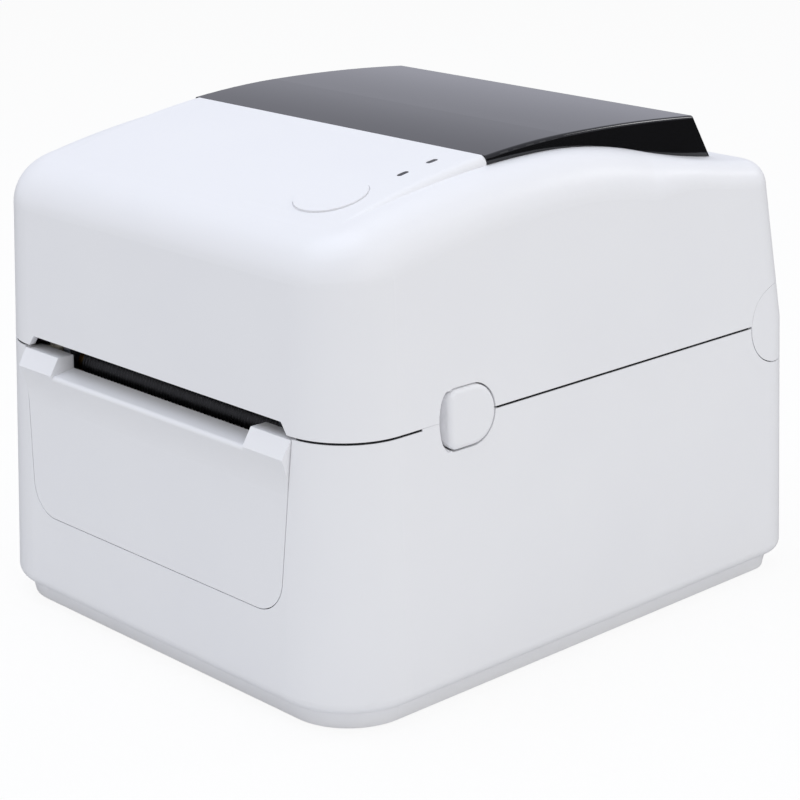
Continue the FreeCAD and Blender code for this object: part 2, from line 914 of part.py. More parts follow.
# Side latches: where the button lies in the side of the case.
LATCH_FRONT = FRONT + dim.latch_front
LATCH_REAR = LATCH_FRONT + dim.latch_length
LATCH_X = side_at(dim.seam_height) - dim.latch_wall
LATCH_PIN = (LATCH_X + dim.latch_wall / 2, LATCH_REAR - dim.latch_pin_inset)
POCKET_X = LATCH_X - dim.latch_swing
HOUSING_X = POCKET_X - dim.latch_housing_wall
HOUSING_Y = (LATCH_FRONT - dim.scoop_length, LATCH_REAR + dim.latch_gap + dim.latch_housing_wall)
HOUSING_Z = dim.latch_height / 2 + dim.latch_gap + dim.latch_housing_wall


def latch_outline(grow, front_grow):
    """The latch seen from the side: flat in front with small corners, a half circle at the rear."""
    half = dim.latch_height / 2 + grow
    front = LATCH_FRONT - front_grow
    centre = LATCH_REAR - dim.latch_height / 2
    low = dim.seam_height - half
    high = dim.seam_height + half
    corner = dim.latch_corner
    return [
        (front + corner, low),
        (centre, low, -half),
        (centre + half, dim.seam_height, -half),
        (centre, high),
        (front + corner, high, -corner),
        (front, high - corner),
        (front, low + corner, -corner),
    ]


def latch_prism(name, grow, front_grow, x):
    return prism(name, "YZ", latch_outline(grow, front_grow), CLEAR / 10, offset=x)


def make_latch(name):
    """A press button that follows the wall, with a bore for its upright pin and a hook at its front end."""
    body = latch_prism(f"{name}_block", 0, 0, LATCH_X)
    skin = case_form(f"{name}_skin", -dim.latch_proud, dim.case_bottom, FORM_TOP)
    plate = common(f"{name}_plate", body, skin)
    outer = LATCH_X.value + dim.latch_wall.value / 2
    shaped = round_part(
        f"{name}_shaped",
        plate,
        dim.latch_round,
        lambda edge: min(vertex.Point.x for vertex in edge.Vertexes) > outer,
    )
    hook = box(
        f"{name}_hook",
        (LATCH_X - dim.latch_hook, LATCH_X + dim.latch_hook),
        (LATCH_FRONT + dim.latch_corner, LATCH_FRONT + dim.latch_corner * 2.5),
        (COVER_BOTTOM + dim.latch_gap, COVER_BOTTOM + dim.latch_corner),
    )
    bore = rod(
        f"{name}_bore",
        "z",
        dim.latch_pin_radius + dim.running_gap,
        (dim.seam_height - dim.latch_height, dim.seam_height + dim.latch_height),
        LATCH_PIN,
    )
    return cut(name, fuse(f"{name}_blank", shaped, hook), bore)


def make_latch_pin(name):
    low = dim.seam_height - HOUSING_Z + dim.latch_gap
    high = dim.seam_height + dim.latch_height / 2 - dim.latch_corner
    return rod(name, "z", dim.latch_pin_radius, (low, high), LATCH_PIN)


def latch_housing(name, z):
    """The thick part behind the latch on the inside of a shell, within the shell's own form."""
    return box(name, (HOUSING_X, side_at(dim.seam_height)), HOUSING_Y, z)


def latch_tools(name):
    """What the latch takes out of a shell: its pocket, the finger scoop ahead of it and its pin's hole."""
    hollow = latch_prism(f"{name}_hollow", dim.latch_gap, dim.latch_front_gap, POCKET_X)
    scoop = doc.addObject("Part::Ellipsoid", f"{name}_scoop")
    bind(scoop, "Radius1", dim.latch_height / 2)
    bind(scoop, "Radius2", dim.scoop_depth)
    bind(scoop, "Radius3", dim.scoop_length)
    move(scoop, side_at(dim.seam_height), LATCH_FRONT, dim.seam_height)
    pin = rod(
        f"{name}_pin_hole",
        "z",
        dim.latch_pin_radius + dim.running_gap,
        (dim.seam_height - HOUSING_Z + dim.latch_gap, dim.seam_height),
        LATCH_PIN,
    )
    return fuse(name, hollow, scoop, pin)


def both_sides(name, source):
    return [source, mirror(f"{name}_left", source)]


# Main board at the rear, its bosses and the connectors that reach through the rear wall.
BOARD_FRONT = REAR - dim.main_board_setback
BOARD_REAR = BOARD_FRONT + dim.board_wall
SOCKET_REAR = rear_at(dim.socket_low + dim.usb_height, 0)
BOSS_X = (dim.main_board_edge - dim.main_board_left, dim.main_board_right - dim.main_board_edge)
BOSS_Z = (dim.main_board_low + dim.main_board_edge, dim.main_board_high - dim.main_board_edge)
SWITCH_SEAT = rear_at(dim.switch_z - dim.rocker_radius - dim.switch_flange) + dim.seat_gap
ROCKER = (SWITCH_SEAT - dim.rocker_hollow, dim.switch_z)


def make_lower_case():
    outer = case_form("case_outer", 0, dim.case_bottom, CASE_TOP)
    base = outer.Tip
    round_edges(
        outer,
        base,
        dim.case_bottom_round,
        lambda edge: all(near(vertex.Point.z, dim.case_bottom) for vertex in edge.Vertexes),
    )
    inner = case_form("case_inner", dim.wall, CASE_FLOOR, CASE_TOP + dim.wall)
    shell = cut("case_shell", outer, inner)
    housing = common(
        "case_housing",
        latch_housing("case_housing_block", (dim.seam_height - HOUSING_Z, CASE_TOP)),
        case_form("case_housing_form", dim.seat_gap, dim.case_bottom, CASE_TOP),
    )
    bosses = [
        rod(
            f"board_boss_{index}_{level}",
            "y",
            dim.boss_radius,
            (BOARD_REAR, rear_at(z, dim.wall / 2)),
            (x, z),
        )
        for index, x in enumerate(BOSS_X)
        for level, z in enumerate(BOSS_Z)
    ]
    solid = fuse("case_solid", shell, *both_sides("case_housing", housing), *bosses)
    hinge = rod(
        "case_hinge_cut",
        "x",
        dim.hinge_radius + dim.hinge_gap,
        (-dim.case_width, dim.case_width),
        HINGE,
    )
    sockets = []
    for name, x, width in (("usb", dim.usb_x, dim.usb_width), ("power", dim.power_x, dim.power_width)):
        half = width / 2 + dim.socket_gap
        sockets.append(
            box(
                f"{name}_hole",
                (x - half, x + half),
                (BOARD_REAR + dim.socket_gap, dim.case_depth / 2),
                (dim.socket_low - dim.socket_gap, dim.socket_low + dim.usb_height + dim.socket_gap),
            )
        )
    switch_half = dim.rocker_radius + dim.rocker_gap + dim.switch_wall + dim.socket_gap
    switch_side = dim.rocker_width / 2 + dim.rocker_gap + dim.switch_wall + dim.socket_gap
    switch = box(
        "switch_hole",
        (dim.switch_x - switch_side, dim.switch_x + switch_side),
        (dim.case_depth / 2 - dim.switch_depth / 2, dim.case_depth / 2 + dim.wall),
        (dim.switch_z - switch_half, dim.switch_z + switch_half),
    )
    return cut(
        "lower_case",
        solid,
        panel_prism("panel_opening", dim.panel_gap),
        hinge,
        *sockets,
        switch,
        *both_sides("case_latch_cut", latch_tools("case_latch_tools")),
    )


# Cover: the roof's crown, the window and the control panel.
CROWN_CENTRE = CROWN_TOP - dim.crown_front_radius
CROWN_Y = FRONT + dim.crown_setback


def crown_at(y):
    """Height of the crown's front arc at a place on the middle line."""
    reach = dim.crown_front_radius * dim.crown_front_radius - (y - CROWN_Y) * (y - CROWN_Y)
    return CROWN_CENTRE + square_root(reach)


def make_spine():
    """The raised strip along the cover in front of the window, which fades out at the front."""
    front = dim.spine_front - dim.case_depth / 2
    low = dim.shoulder_height - dim.spine_depth
    body = new_body("spine")
    sketch = new_sketch(body, "YZ")
    draw_outline(
        sketch,
        [
            (front, low),
            (WINDOW_FRONT, low),
            (WINDOW_FRONT, crown_at(WINDOW_FRONT), -dim.crown_front_radius),
            (front, crown_at(front)),
        ],
    )
    block = pad(body, sketch, dim.spine_width, symmetric=True)
    round_edges(
        body,
        block,
        dim.spine_round,
        lambda edge: edge.Curve.TypeId == "Part::GeomCircle",
    )
    return body


def window_outline(inset, low):
    """The window's side view: the crown's two arcs, and the slanted end behind them."""
    front = WINDOW_FRONT + dim.seat_gap + inset
    rear = WINDOW_REAR - inset
    front_radius = dim.crown_front_radius - inset
    rear_radius = dim.crown_rear_radius - inset
    top = CROWN_TOP - inset

    def on_arc(y, radius):
        return top - radius + square_root(radius * radius - (y - CROWN_Y) * (y - CROWN_Y))

    rear_top = on_arc(rear, rear_radius)
    slant = dim.window_tail / dim.window_drop
    return [
        (front, low),
        (rear + slant * (rear_top - low), low),
        (rear, rear_top, -rear_radius),
        (CROWN_Y, top, -front_radius),
        (front, on_arc(front, front_radius)),
    ]


def make_window():
    """A black hood with side skirts that stand on the roof, open below."""
    low = dim.shoulder_height - dim.spine_depth
    outer = new_body("window_outer")
    sketch = new_sketch(outer, "YZ")
    draw_outline(sketch, window_outline(0, low))
    block = pad(outer, sketch, dim.spine_width, symmetric=True)
    rear = (WINDOW_REAR).value

    def is_rim(edge):
        ends = [vertex.Point for vertex in edge.Vertexes]
        at_side = abs(ends[0].x - ends[-1].x) < 0.01
        above = min(end.z for end in ends) > low.value + 0.01
        at_rear = abs(ends[0].y - rear) < 0.01 and abs(ends[-1].y - rear) < 0.01
        behind = max(end.y for end in ends) > rear + 0.01
        rises = max(end.z for end in ends) > low.value + 1
        return (at_side and above) or at_rear or (at_side and behind and rises)

    round_edges(outer, block, dim.window_round, is_rim)
    inner = prism(
        "window_inner",
        "YZ",
        window_outline(dim.window_wall, low - dim.wall),
        dim.spine_width - dim.window_wall * 2,
        symmetric=True,
    )
    roof = roof_prism("window_roof", -dim.seat_gap, COVER_BOTTOM)
    return cut("top_window", outer, inner, roof)


# The feed button stands square to the crown, so its parts share one tilted frame.
BUTTON_Y = FRONT + dim.button_setback
TILT = (CROWN_Y - BUTTON_Y) / dim.crown_front_radius
TILT_LEVEL = square_root(1 - TILT * TILT)


def tilt(item, x, along, height):
    """Places a piece in the button's frame: x across, along the slope and height above the surface."""
    bind(item, "Placement.Rotation.Axis.x", 1)
    bind(item, "Placement.Rotation.Axis.y", 0)
    bind(item, "Placement.Rotation.Axis.z", 0)
    item.setExpression("Placement.Rotation.Angle", arcsine(TILT).text)
    along = as_size(along)
    height = as_size(height)
    move(
        item,
        dim.button_x + x,
        BUTTON_Y + along * TILT_LEVEL - height * TILT,
        crown_at(BUTTON_Y) + along * TILT + height * TILT_LEVEL,
    )
    return item


def tilted_rod(name, radius, low, high, x=0, along=0):
    cylinder = doc.addObject("Part::Cylinder", name)
    bind(cylinder, "Radius", radius)
    bind(cylinder, "Height", as_size(high) - low)
    return tilt(cylinder, x, along, low)


def tilted_box(name, x, along, height):
    block = doc.addObject("Part::Box", name)
    bind(block, "Length", x[1] - x[0])
    bind(block, "Width", along[1] - along[0])
    bind(block, "Height", height[1] - height[0])
    return tilt(block, x[0], along[0], height[0])


BOARD_TOP = -dim.board_depth
BUTTON_LOW = dim.button_proud - dim.button_height
KEY_TOP = BOARD_TOP + dim.key_height
POSTS = (
    (-dim.board_width / 2 + dim.post_radius * 2, -dim.board_front + dim.post_radius * 2),
    (dim.board_width / 2 - dim.post_radius * 2, -dim.board_front + dim.post_radius * 2),
    (-dim.board_width / 2 + dim.post_radius * 2, dim.board_front + dim.post_radius * 2),
)


def make_feed_button():
    cap = tilted_rod("button_cap", dim.button_radius, BUTTON_LOW, dim.button_proud)
    flange_low = BUTTON_LOW - dim.button_flange_wall
    flange = tilted_rod("button_rim", dim.button_radius + dim.button_flange, flange_low, BUTTON_LOW)
    stem_low = KEY_TOP + dim.button_travel + dim.button_gap
    stem = tilted_rod("button_post", dim.button_stem, stem_low, flange_low)
    return fuse("feed_button", cap, flange, stem)


def light_shape(name, y, grow, low):
    """A light's rounded slot, from below the roof up through it."""
    half = dim.light_width / 2 + grow
    ends = dim.light_length / 2 - dim.light_width / 2
    along = (y - BUTTON_Y) / TILT_LEVEL
    across = dim.light_x - dim.button_x
    high = dim.button_proud + dim.spine_round
    width = (across - half, across + half)
    return fuse(
        name,
        tilted_box(f"{name}_middle", width, (along - ends, along + ends), (low, high)),
        tilted_rod(f"{name}_front", half, low, high, across, along - ends),
        tilted_rod(f"{name}_rear", half, low, high, across, along + ends),
    )


LIGHTS = (FRONT + dim.light_first, FRONT + dim.light_second)


def make_light_pipes(spine):
    """Two clear pipes from the control board up to the crown's surface."""
    pipes = [
        common(f"light_pipe_{index}", light_shape(f"light_{index}", y, 0, BOARD_TOP), spine)
        for index, y in enumerate(LIGHTS, 1)
    ]
    return group("light_pipes", pipes)


def make_control_board():
    board = tilted_box(
        "control_board_plate",
        (-dim.board_width / 2, dim.board_width / 2),
        (-dim.board_front, dim.board_length - dim.board_front),
        (BOARD_TOP - dim.board_wall, BOARD_TOP),
    )
    half = dim.key_width / 2
    key = tilted_box("control_board_key", (-half, half), (-half, half), (BOARD_TOP, KEY_TOP))
    return fuse("control_board", board, key)


# The frame across the cover that carries the print head.
FRAME_LOW = dim.seam_height + dim.frame_rise
FRAME_REAR = FRONT + dim.frame_rear
FRAME_SIDE = side_at(FRAME_LOW + dim.frame_wall, dim.wall) - dim.frame_side_gap


def make_upper_cover(spine, outer, whole):
    inner = cover_form("cover_inner", dim.wall, COVER_BOTTOM - dim.wall)
    shell = cut("cover_shell", fuse("cover_blank", outer, spine), inner)
    skirt_ring = cut(
        "cover_skirt_ring",
        case_form("cover_skirt_outer", 0, dim.case_bottom, COVER_BOTTOM),
        case_form("cover_skirt_inner", dim.wall, dim.case_bottom, COVER_BOTTOM + dim.wall),
    )
    skirt = common(
        "cover_skirt",
        skirt_ring,
        rod("cover_skirt_bar", "x", dim.hinge_radius, (-CAP_X, CAP_X), HINGE),
    )
    lug_raw = fuse(
        "cover_lug_raw",
        rod("cover_lug_eye", "x", dim.hinge_lug_radius, (LUG_X, CAP_X), HINGE),
        box(
            "cover_lug_web",
            (LUG_X, CAP_X),
            (HINGE_Y - dim.hinge_lug_radius, HINGE_Y + dim.hinge_lug_radius),
            (HINGE_Z, HINGE_Z + dim.hinge_lug_height),
        ),
    )
    lug = common("cover_lug", lug_raw, whole)
    housing = common(
        "cover_housing",
        latch_housing("cover_housing_block", (COVER_BOTTOM, dim.seam_height + HOUSING_Z)),
        case_form("cover_housing_form", dim.seat_gap, dim.case_bottom, FORM_TOP),
    )
    frame_top = FRAME_LOW + dim.frame_wall
    ledge = common(
        "cover_ledge",
        box(
            "cover_ledge_block",
            (FRAME_SIDE - dim.ledge_reach, dim.case_width / 2),
            (FRAME_REAR - dim.ledge_run, FRAME_REAR),
            (frame_top, frame_top + dim.ledge_wall),
        ),
        case_form("cover_ledge_form", dim.seat_gap, dim.case_bottom, FORM_TOP),
    )
    posts = [
        tilted_rod(f"board_post_{index}", dim.post_radius, BOARD_TOP, -dim.wall, x, along)
        for index, (x, along) in enumerate(POSTS)
    ]
    solid = fuse(
        "cover_solid",
        shell,
        skirt,
        *both_sides("cover_lug", lug),
        *both_sides("cover_housing", housing),
        *both_sides("cover_ledge", ledge),
        *posts,
    )
    slot_top = dim.seam_height + dim.slot_height
    half = dim.slot_width / 2
    slot = prism(
        "cover_slot",
        "XZ",
        [
            (-half, COVER_BOTTOM - dim.wall),
            (half, COVER_BOTTOM - dim.wall),
            (half, COVER_BOTTOM),
            (half - dim.slot_slant, slot_top),
            (dim.slot_slant - half, slot_top),
            (-half, COVER_BOTTOM),
        ],
        dim.lip_back + dim.wall,
        offset=dim.case_depth / 2 - dim.lip_back,
    )
    opening = box(
        "cover_opening",
        (dim.window_seat - dim.spine_width / 2, dim.spine_width / 2 - dim.window_seat),
        (WINDOW_FRONT + dim.window_seat, WINDOW_REAR - dim.window_seat),
        (dim.shoulder_height - dim.spine_depth, FORM_TOP),
    )
    cap = rod(
        "cover_cap_cut",
        "x",
        dim.hinge_radius + dim.seat_gap,
        (CAP_X, CAP_X + CLEAR / 10),
        HINGE,
    )
    eye = rod("cover_eye", "x", dim.hinge_pin_radius + dim.running_gap, (-CAP_X, CAP_X), HINGE)
    button = tilted_rod(
        "cover_button_hole",
        dim.button_radius + dim.button_gap,
        BUTTON_LOW - dim.wall,
        dim.button_proud + dim.wall,
    )
    lights = [
        light_shape(f"light_hole_{index}", y, dim.seat_gap, BOARD_TOP + dim.wall)
        for index, y in enumerate(LIGHTS, 1)
    ]
    return cut(
        "upper_cover",
        solid,
        slot,
        opening,
        eye,
        button,
        *lights,
        *both_sides("cover_cap_cut", cap),
        *both_sides("cover_latch_cut", latch_tools("cover_latch_tools")),
    )


def make_hinge_cap(whole):
    """A round cap on the outside of the hinge, flush with the case's side."""
    disc = rod("hinge_cap_disc", "x", dim.hinge_radius, (CAP_X, CAP_X + CLEAR / 10), HINGE)
    bore = rod(
        "hinge_cap_bore",
        "x",
        dim.hinge_pin_radius + dim.running_gap,
        (CAP_X, CAP_X + dim.hinge_cap_depth / 2),
        HINGE,
    )
    return cut("hinge_cap_right", common("hinge_cap_flush", disc, whole), bore)


def make_hinge_brackets():
    """Upright plates on the case floor with an arm back to the hinge line, each with its pin."""
    radius = dim.hinge_bracket_radius
    rear = HINGE_Y - dim.hinge_bracket_setback
    front = rear - dim.hinge_bracket_width
    outline = [
        (front, CASE_FLOOR),
        (rear, CASE_FLOOR),
        (rear, HINGE_Z - radius),
        (HINGE_Y, HINGE_Z - radius, -radius),
        (HINGE_Y + radius, HINGE_Z, -radius),
        (HINGE_Y, HINGE_Z + radius),
        (front + radius, HINGE_Z + radius),
        (front, HINGE_Z),
    ]
    plate = prism("hinge_bracket_plate", "YZ", outline, dim.hinge_bracket_wall, offset=BRACKET_X)
    eye = rod("hinge_bracket_eye", "x", dim.hinge_pin_radius, (0, CAP_X), HINGE)
    return pair("hinge_brackets", cut("hinge_bracket", plate, eye))


def make_hinge_pins():
    pin = rod(
        "hinge_pin",
        "x",
        dim.hinge_pin_radius,
        (BRACKET_X, CAP_X + dim.hinge_cap_depth / 2 - dim.lug_gap),
        HINGE,
    )
    return pair("hinge_pins", pin)


# Print mechanism: the platen line, the cheeks that carry it and the gear train outside the left cheek.
PLATEN = (FRONT + dim.platen_setback, dim.seam_height - dim.platen_drop)
CHEEK_IN = dim.platen_length / 2 + dim.cheek_gap
CHEEK_OUT = CHEEK_IN + dim.cheek_wall
BUSH_RADIUS = dim.shaft_radius + dim.running_gap + dim.bush_wall
GEAR_X = (-CHEEK_OUT - dim.gear_stand - dim.gear_width, -CHEEK_OUT - dim.gear_stand)
GUIDE_TOP = dim.seam_height - dim.guide_step
GUIDE_LOW = GUIDE_TOP - dim.guide_wall
CHEEK_REAR = FRONT + dim.cheek_rear
GUIDE_FRONT = FRONT + dim.guide_front
BULKHEAD_TOP = GUIDE_LOW - dim.guide_drop


def cosine(angle):
    return Size(math.cos(math.radians(angle.value)), f"cos({angle.text} * 1deg)")


def sine(angle):
    return Size(math.sin(math.radians(angle.value)), f"sin({angle.text} * 1deg)")


def mesh_point(centre, teeth, next_teeth, angle):
    """Centre of a gear that meshes with another one in the given direction."""
    reach = dim.gear_module * (teeth + next_teeth) / 2
    return (centre[0] + reach * cosine(angle), centre[1] + reach * sine(angle))


IDLER = mesh_point(PLATEN, dim.platen_teeth, dim.idler_teeth, dim.idler_angle)
MOTOR = mesh_point(IDLER, dim.idler_teeth, dim.motor_teeth, dim.motor_angle)


def make_chassis():
    """Two bearing cheeks on a floor plate, joined by a bulkhead and a bar under the paper guide."""
    front = FRONT + dim.cheek_front
    rear = CHEEK_REAR
    ear = PLATEN[1] + BUSH_RADIUS + dim.cheek_ear
    outline = [
        (front, CASE_FLOOR),
        (rear, CASE_FLOOR),
        (rear, dim.cheek_step),
        (PLATEN[0] + dim.shaft_radius * 6, PLATEN[1]),
        (PLATEN[0] + dim.shaft_radius * 3, ear),
        (front, ear),
    ]
    right = prism("cheek_right", "YZ", outline, dim.cheek_wall, offset=CHEEK_IN)
    floor_top = CASE_FLOOR + dim.chassis_floor
    floor = box("chassis_plate", (-CHEEK_IN, CHEEK_IN), (front, rear), (CASE_FLOOR, floor_top))
    bulkhead = box(
        "chassis_bulkhead",
        (-CHEEK_IN, CHEEK_IN),
        (rear - dim.bulkhead_wall, rear),
        (floor_top, BULKHEAD_TOP),
    )
    bar = box(
        "chassis_bar",
        (-CHEEK_IN, CHEEK_IN),
        (GUIDE_FRONT, GUIDE_FRONT + dim.guide_bar),
        (GUIDE_LOW - dim.guide_bar, GUIDE_LOW),
    )
    blank = fuse("chassis_blank", right, mirror("cheek_left", right), floor, bulkhead, bar)
    bearing = rod("chassis_bearing", "x", BUSH_RADIUS, (-CHEEK_OUT, CHEEK_OUT), PLATEN)
    stud = rod("chassis_stud", "x", dim.idler_pin_radius, (-CHEEK_OUT, -CHEEK_IN), IDLER)
    boss = rod("chassis_boss", "x", dim.motor_boss_radius, (-CHEEK_OUT, -CHEEK_IN), MOTOR)
    return cut("chassis", blank, bearing, stud, boss)


def make_paper_guide():
    """A bent plate that leads the labels up from the bay to the platen."""
    front = GUIDE_FRONT
    flat = FRONT + dim.guide_flat
    rear = CHEEK_REAR
    top = GUIDE_TOP
    wall = dim.guide_wall
    outline = [
        (front, top - wall),
        (flat, top - wall, dim.guide_radius - wall),
        (rear - wall, BULKHEAD_TOP),
        (rear, BULKHEAD_TOP),
        (rear, BULKHEAD_TOP + wall, -dim.guide_radius),
        (flat, top),
        (front, top),
    ]
    return prism("paper_guide", "YZ", outline, (CHEEK_IN - dim.seat_gap) * 2, symmetric=True)


def make_gap_sensor():
    half = dim.sensor_width / 2
    front = GUIDE_FRONT + dim.guide_bar + dim.seat_gap
    return box(
        "gap_sensor",
        (-half, half),
        (front, front + dim.sensor_depth),
        (GUIDE_LOW - dim.sensor_height, GUIDE_LOW),
    )


def involute(radius, base):
    """Angle between an involute's start and its point at a radius."""
    angle = math.acos(min(1.0, base / radius))
    return math.tan(angle) - angle


PRESSURE = math.radians(20)


def gear_shape(teeth, module, backlash, width, bore=0):
    """A spur gear standing on the origin, with one tooth along +X and arcs for its involute flanks."""
    pitch = module * teeth / 2
    base = pitch * math.cos(PRESSURE)
    tip = pitch + module
    root = pitch - 1.25 * module
    start = max(base, root)
    half = math.pi / (2 * teeth) - backlash / (2 * pitch) + involute(pitch, base)

    def point(radius, angle):
        return Vector(radius * math.cos(angle), radius * math.sin(angle), 0)

    def flank(radius):
        return half - involute(radius, base)

    edges = []
    step = 2 * math.pi / teeth
    for index in range(teeth):
        middle = index * step
        rise = [point(radius, middle - flank(radius)) for radius in (start, (start + tip) / 2, tip)]
        fall = [point(radius, middle + flank(radius)) for radius in (tip, (start + tip) / 2, start)]
        foot = point(root, middle - flank(start))
        toe = point(root, middle + flank(start))
        following = point(root, middle + step - flank(start))
        if start > root:
            edges.append(Part.LineSegment(foot, rise[0]).toShape())
        edges.append(Part.Arc(*rise).toShape())
        edges.append(Part.Arc(rise[2], point(tip, middle), fall[0]).toShape())
        edges.append(Part.Arc(*fall).toShape())
        if start > root:
            edges.append(Part.LineSegment(fall[2], toe).toShape())
        edges.append(Part.Arc(toe, point(root, middle + step / 2), following).toShape())
    blank = Part.Face(Part.Wire(edges)).extrude(Vector(0, 0, width))
    if not bore:
        return blank
    return blank.cut(Part.makeCylinder(bore, width))


# Turns +Z into +X and +X into +Y, so that a gear's angle is read in the YZ plane.
ALONG_X = Rotation(Vector(1, 1, 1), 120)


def feature(name, shape, base, turn):
    """A piece whose shape is worked out here, placed after its shape is set."""
    item = doc.addObject("Part::Feature", name)
    item.Shape = shape
    item.Placement = FreeCAD.Placement(base, turn)
    return item


def train_gear(name, teeth, centre, phase, bore=as_size(0)):
    """A gear of the train outside the left cheek, turned by its phase in radians."""
    shape = gear_shape(
        round(teeth.value),
        dim.gear_module.value,
        dim.gear_backlash.value,
        dim.gear_width.value,
        bore.value,
    )
    turn = ALONG_X.multiply(Rotation(Vector(0, 0, 1), math.degrees(phase)))
    return feature(name, shape, Vector(GEAR_X[0].value, centre[0].value, centre[1].value), turn)


FIRST_ANGLE = math.radians(dim.idler_angle.value)
SECOND_ANGLE = math.radians(dim.motor_angle.value)
IDLER_PHASE = FIRST_ANGLE + math.pi + math.pi / dim.idler_teeth.value
IDLER_LAG = (IDLER_PHASE - SECOND_ANGLE) * dim.idler_teeth.value / dim.motor_teeth.value
MOTOR_PHASE = SECOND_ANGLE + math.pi - IDLER_LAG + math.pi / dim.motor_teeth.value


def make_platen():
    ends = (GEAR_X[0] - dim.shaft_end, CHEEK_OUT + dim.shaft_end)
    shaft = rod("platen_shaft", "x", dim.shaft_radius, ends, PLATEN)
    half = dim.platen_length / 2
    rubber = cut(
        "platen_rubber",
        rod("platen_sleeve", "x", dim.platen_radius, (-half, half), PLATEN),
        rod("platen_sleeve_bore", "x", dim.shaft_radius, (-half, half), PLATEN),
    )
    gear = train_gear("platen_gear", dim.platen_teeth, PLATEN, FIRST_ANGLE, dim.shaft_radius)
    return shaft, rubber, gear


def make_platen_bushes():
    body = rod("bush_body", "x", BUSH_RADIUS, (CHEEK_IN, CHEEK_OUT), PLATEN)
    collar = (CHEEK_OUT, CHEEK_OUT + dim.bush_flange)
    rim = rod("bush_rim", "x", BUSH_RADIUS + dim.bush_flange, collar, PLATEN)
    bore = rod(
        "bush_bore",
        "x",
        dim.shaft_radius + dim.running_gap,
        (CHEEK_IN, CHEEK_OUT + dim.bush_flange),
        PLATEN,
    )
    return pair("platen_bushes", cut("platen_bush", fuse("bush_blank", body, rim), bore))


def make_idler():
    pin = rod("idler_pin", "x", dim.idler_pin_radius, (GEAR_X[0] - dim.shaft_end, -CHEEK_IN), IDLER)
    bore = dim.idler_pin_radius + dim.running_gap
    gear = train_gear("idler_gear", dim.idler_teeth, IDLER, IDLER_PHASE, bore)
    return pin, gear


def make_motor():
    """A square stepper motor against the inside of the left cheek, bored for its shaft."""
    half = dim.motor_size / 2
    near_edge = half - dim.motor_chamfer
    y, z = MOTOR
    outline = [
        (y - near_edge, z - half),
        (y + near_edge, z - half),
        (y + half, z - near_edge),
        (y + half, z + near_edge),
        (y + near_edge, z + half),
        (y - near_edge, z + half),
        (y - half, z + near_edge),
        (y - half, z - near_edge),
    ]
    body = prism("motor_body", "YZ", outline, dim.motor_length, offset=-CHEEK_IN)
    boss = rod("motor_boss", "x", dim.motor_boss_radius, (-CHEEK_OUT, -CHEEK_IN), MOTOR)
    bore = rod(
        "motor_bore",
        "x",
        dim.motor_shaft_radius + dim.running_gap,
        (-CHEEK_OUT, dim.motor_shaft_depth - CHEEK_IN),
        MOTOR,
    )
    motor = cut("stepper_motor", fuse("motor_blank", body, boss), bore)
    shaft = rod(
        "motor_shaft",
        "x",
        dim.motor_shaft_radius,
        (GEAR_X[0], dim.motor_shaft_depth - CHEEK_IN - dim.lug_gap),
        MOTOR,
    )
    gear = train_gear("motor_gear", dim.motor_teeth, MOTOR, MOTOR_PHASE)
    return motor, fuse("motor_pinion", gear, shaft)


# Media bay: a floor tray, two holders that slide together and the pinion that centres them.
BAY_Y = FRONT + dim.bay_setback
TRAY_SIDE = BRACKET_X - dim.tray_side_gap
HOLDER_X = (-dim.holder_spread / 2 - dim.holder_wall, -dim.holder_spread / 2)
RACK_Z = (dim.rack_low, dim.rack_low + dim.rack_height)
RACK_PITCH_RADIUS = dim.rack_module * dim.centring_teeth / 2
RACK_ROOT = BAY_Y - RACK_PITCH_RADIUS - dim.rack_module * 1.25
RACK_BACK = RACK_ROOT - dim.rack_width
STEM_Y = (BAY_Y - dim.holder_stem / 2, BAY_Y + dim.holder_stem / 2)
ROLL = (BAY_Y, dim.tray_height + dim.roll_rise)


def make_media_tray():
    body = new_body("media_tray")
    wall = dim.tray_wall
    half = TRAY_SIDE
    front = CHEEK_REAR + dim.tray_front_gap
    rear = BOARD_FRONT - dim.tray_rear_gap
    for drawn_in in (0, wall):
        sketch = new_sketch(body, "XY", CASE_FLOOR)
        draw_rounded_rectangle(
            sketch,
            (drawn_in - half, half - drawn_in),
            (front + drawn_in, rear - drawn_in),
            dim.tray_round - drawn_in,
            dim.tray_round - drawn_in,
        )
        if drawn_in is wall:
            hollow = pocket(body, sketch, dim.tray_height - wall - CASE_FLOOR)
            hollow.Reversed = True
        else:
            pad(body, sketch, dim.tray_height - CASE_FLOOR)
    for side in (-1, 1):
        sketch = new_sketch(body, "XY", dim.tray_height)
        outer = -HOLDER_X[0] + dim.holder_spare + dim.holder_gap
        inner = -HOLDER_X[1] - dim.holder_travel - dim.holder_gap
        limits = (inner, outer) if side > 0 else (-outer, -inner)
        near_edge = STEM_Y[0] - dim.holder_gap
        far_edge = STEM_Y[1] + dim.holder_gap
        draw_outline(
            sketch,
            [
                (limits[0], near_edge),
                (limits[1], near_edge),
                (limits[1], far_edge),
                (limits[0], far_edge),
            ],
        )
        pocket(body, sketch, wall * 2)
    return body


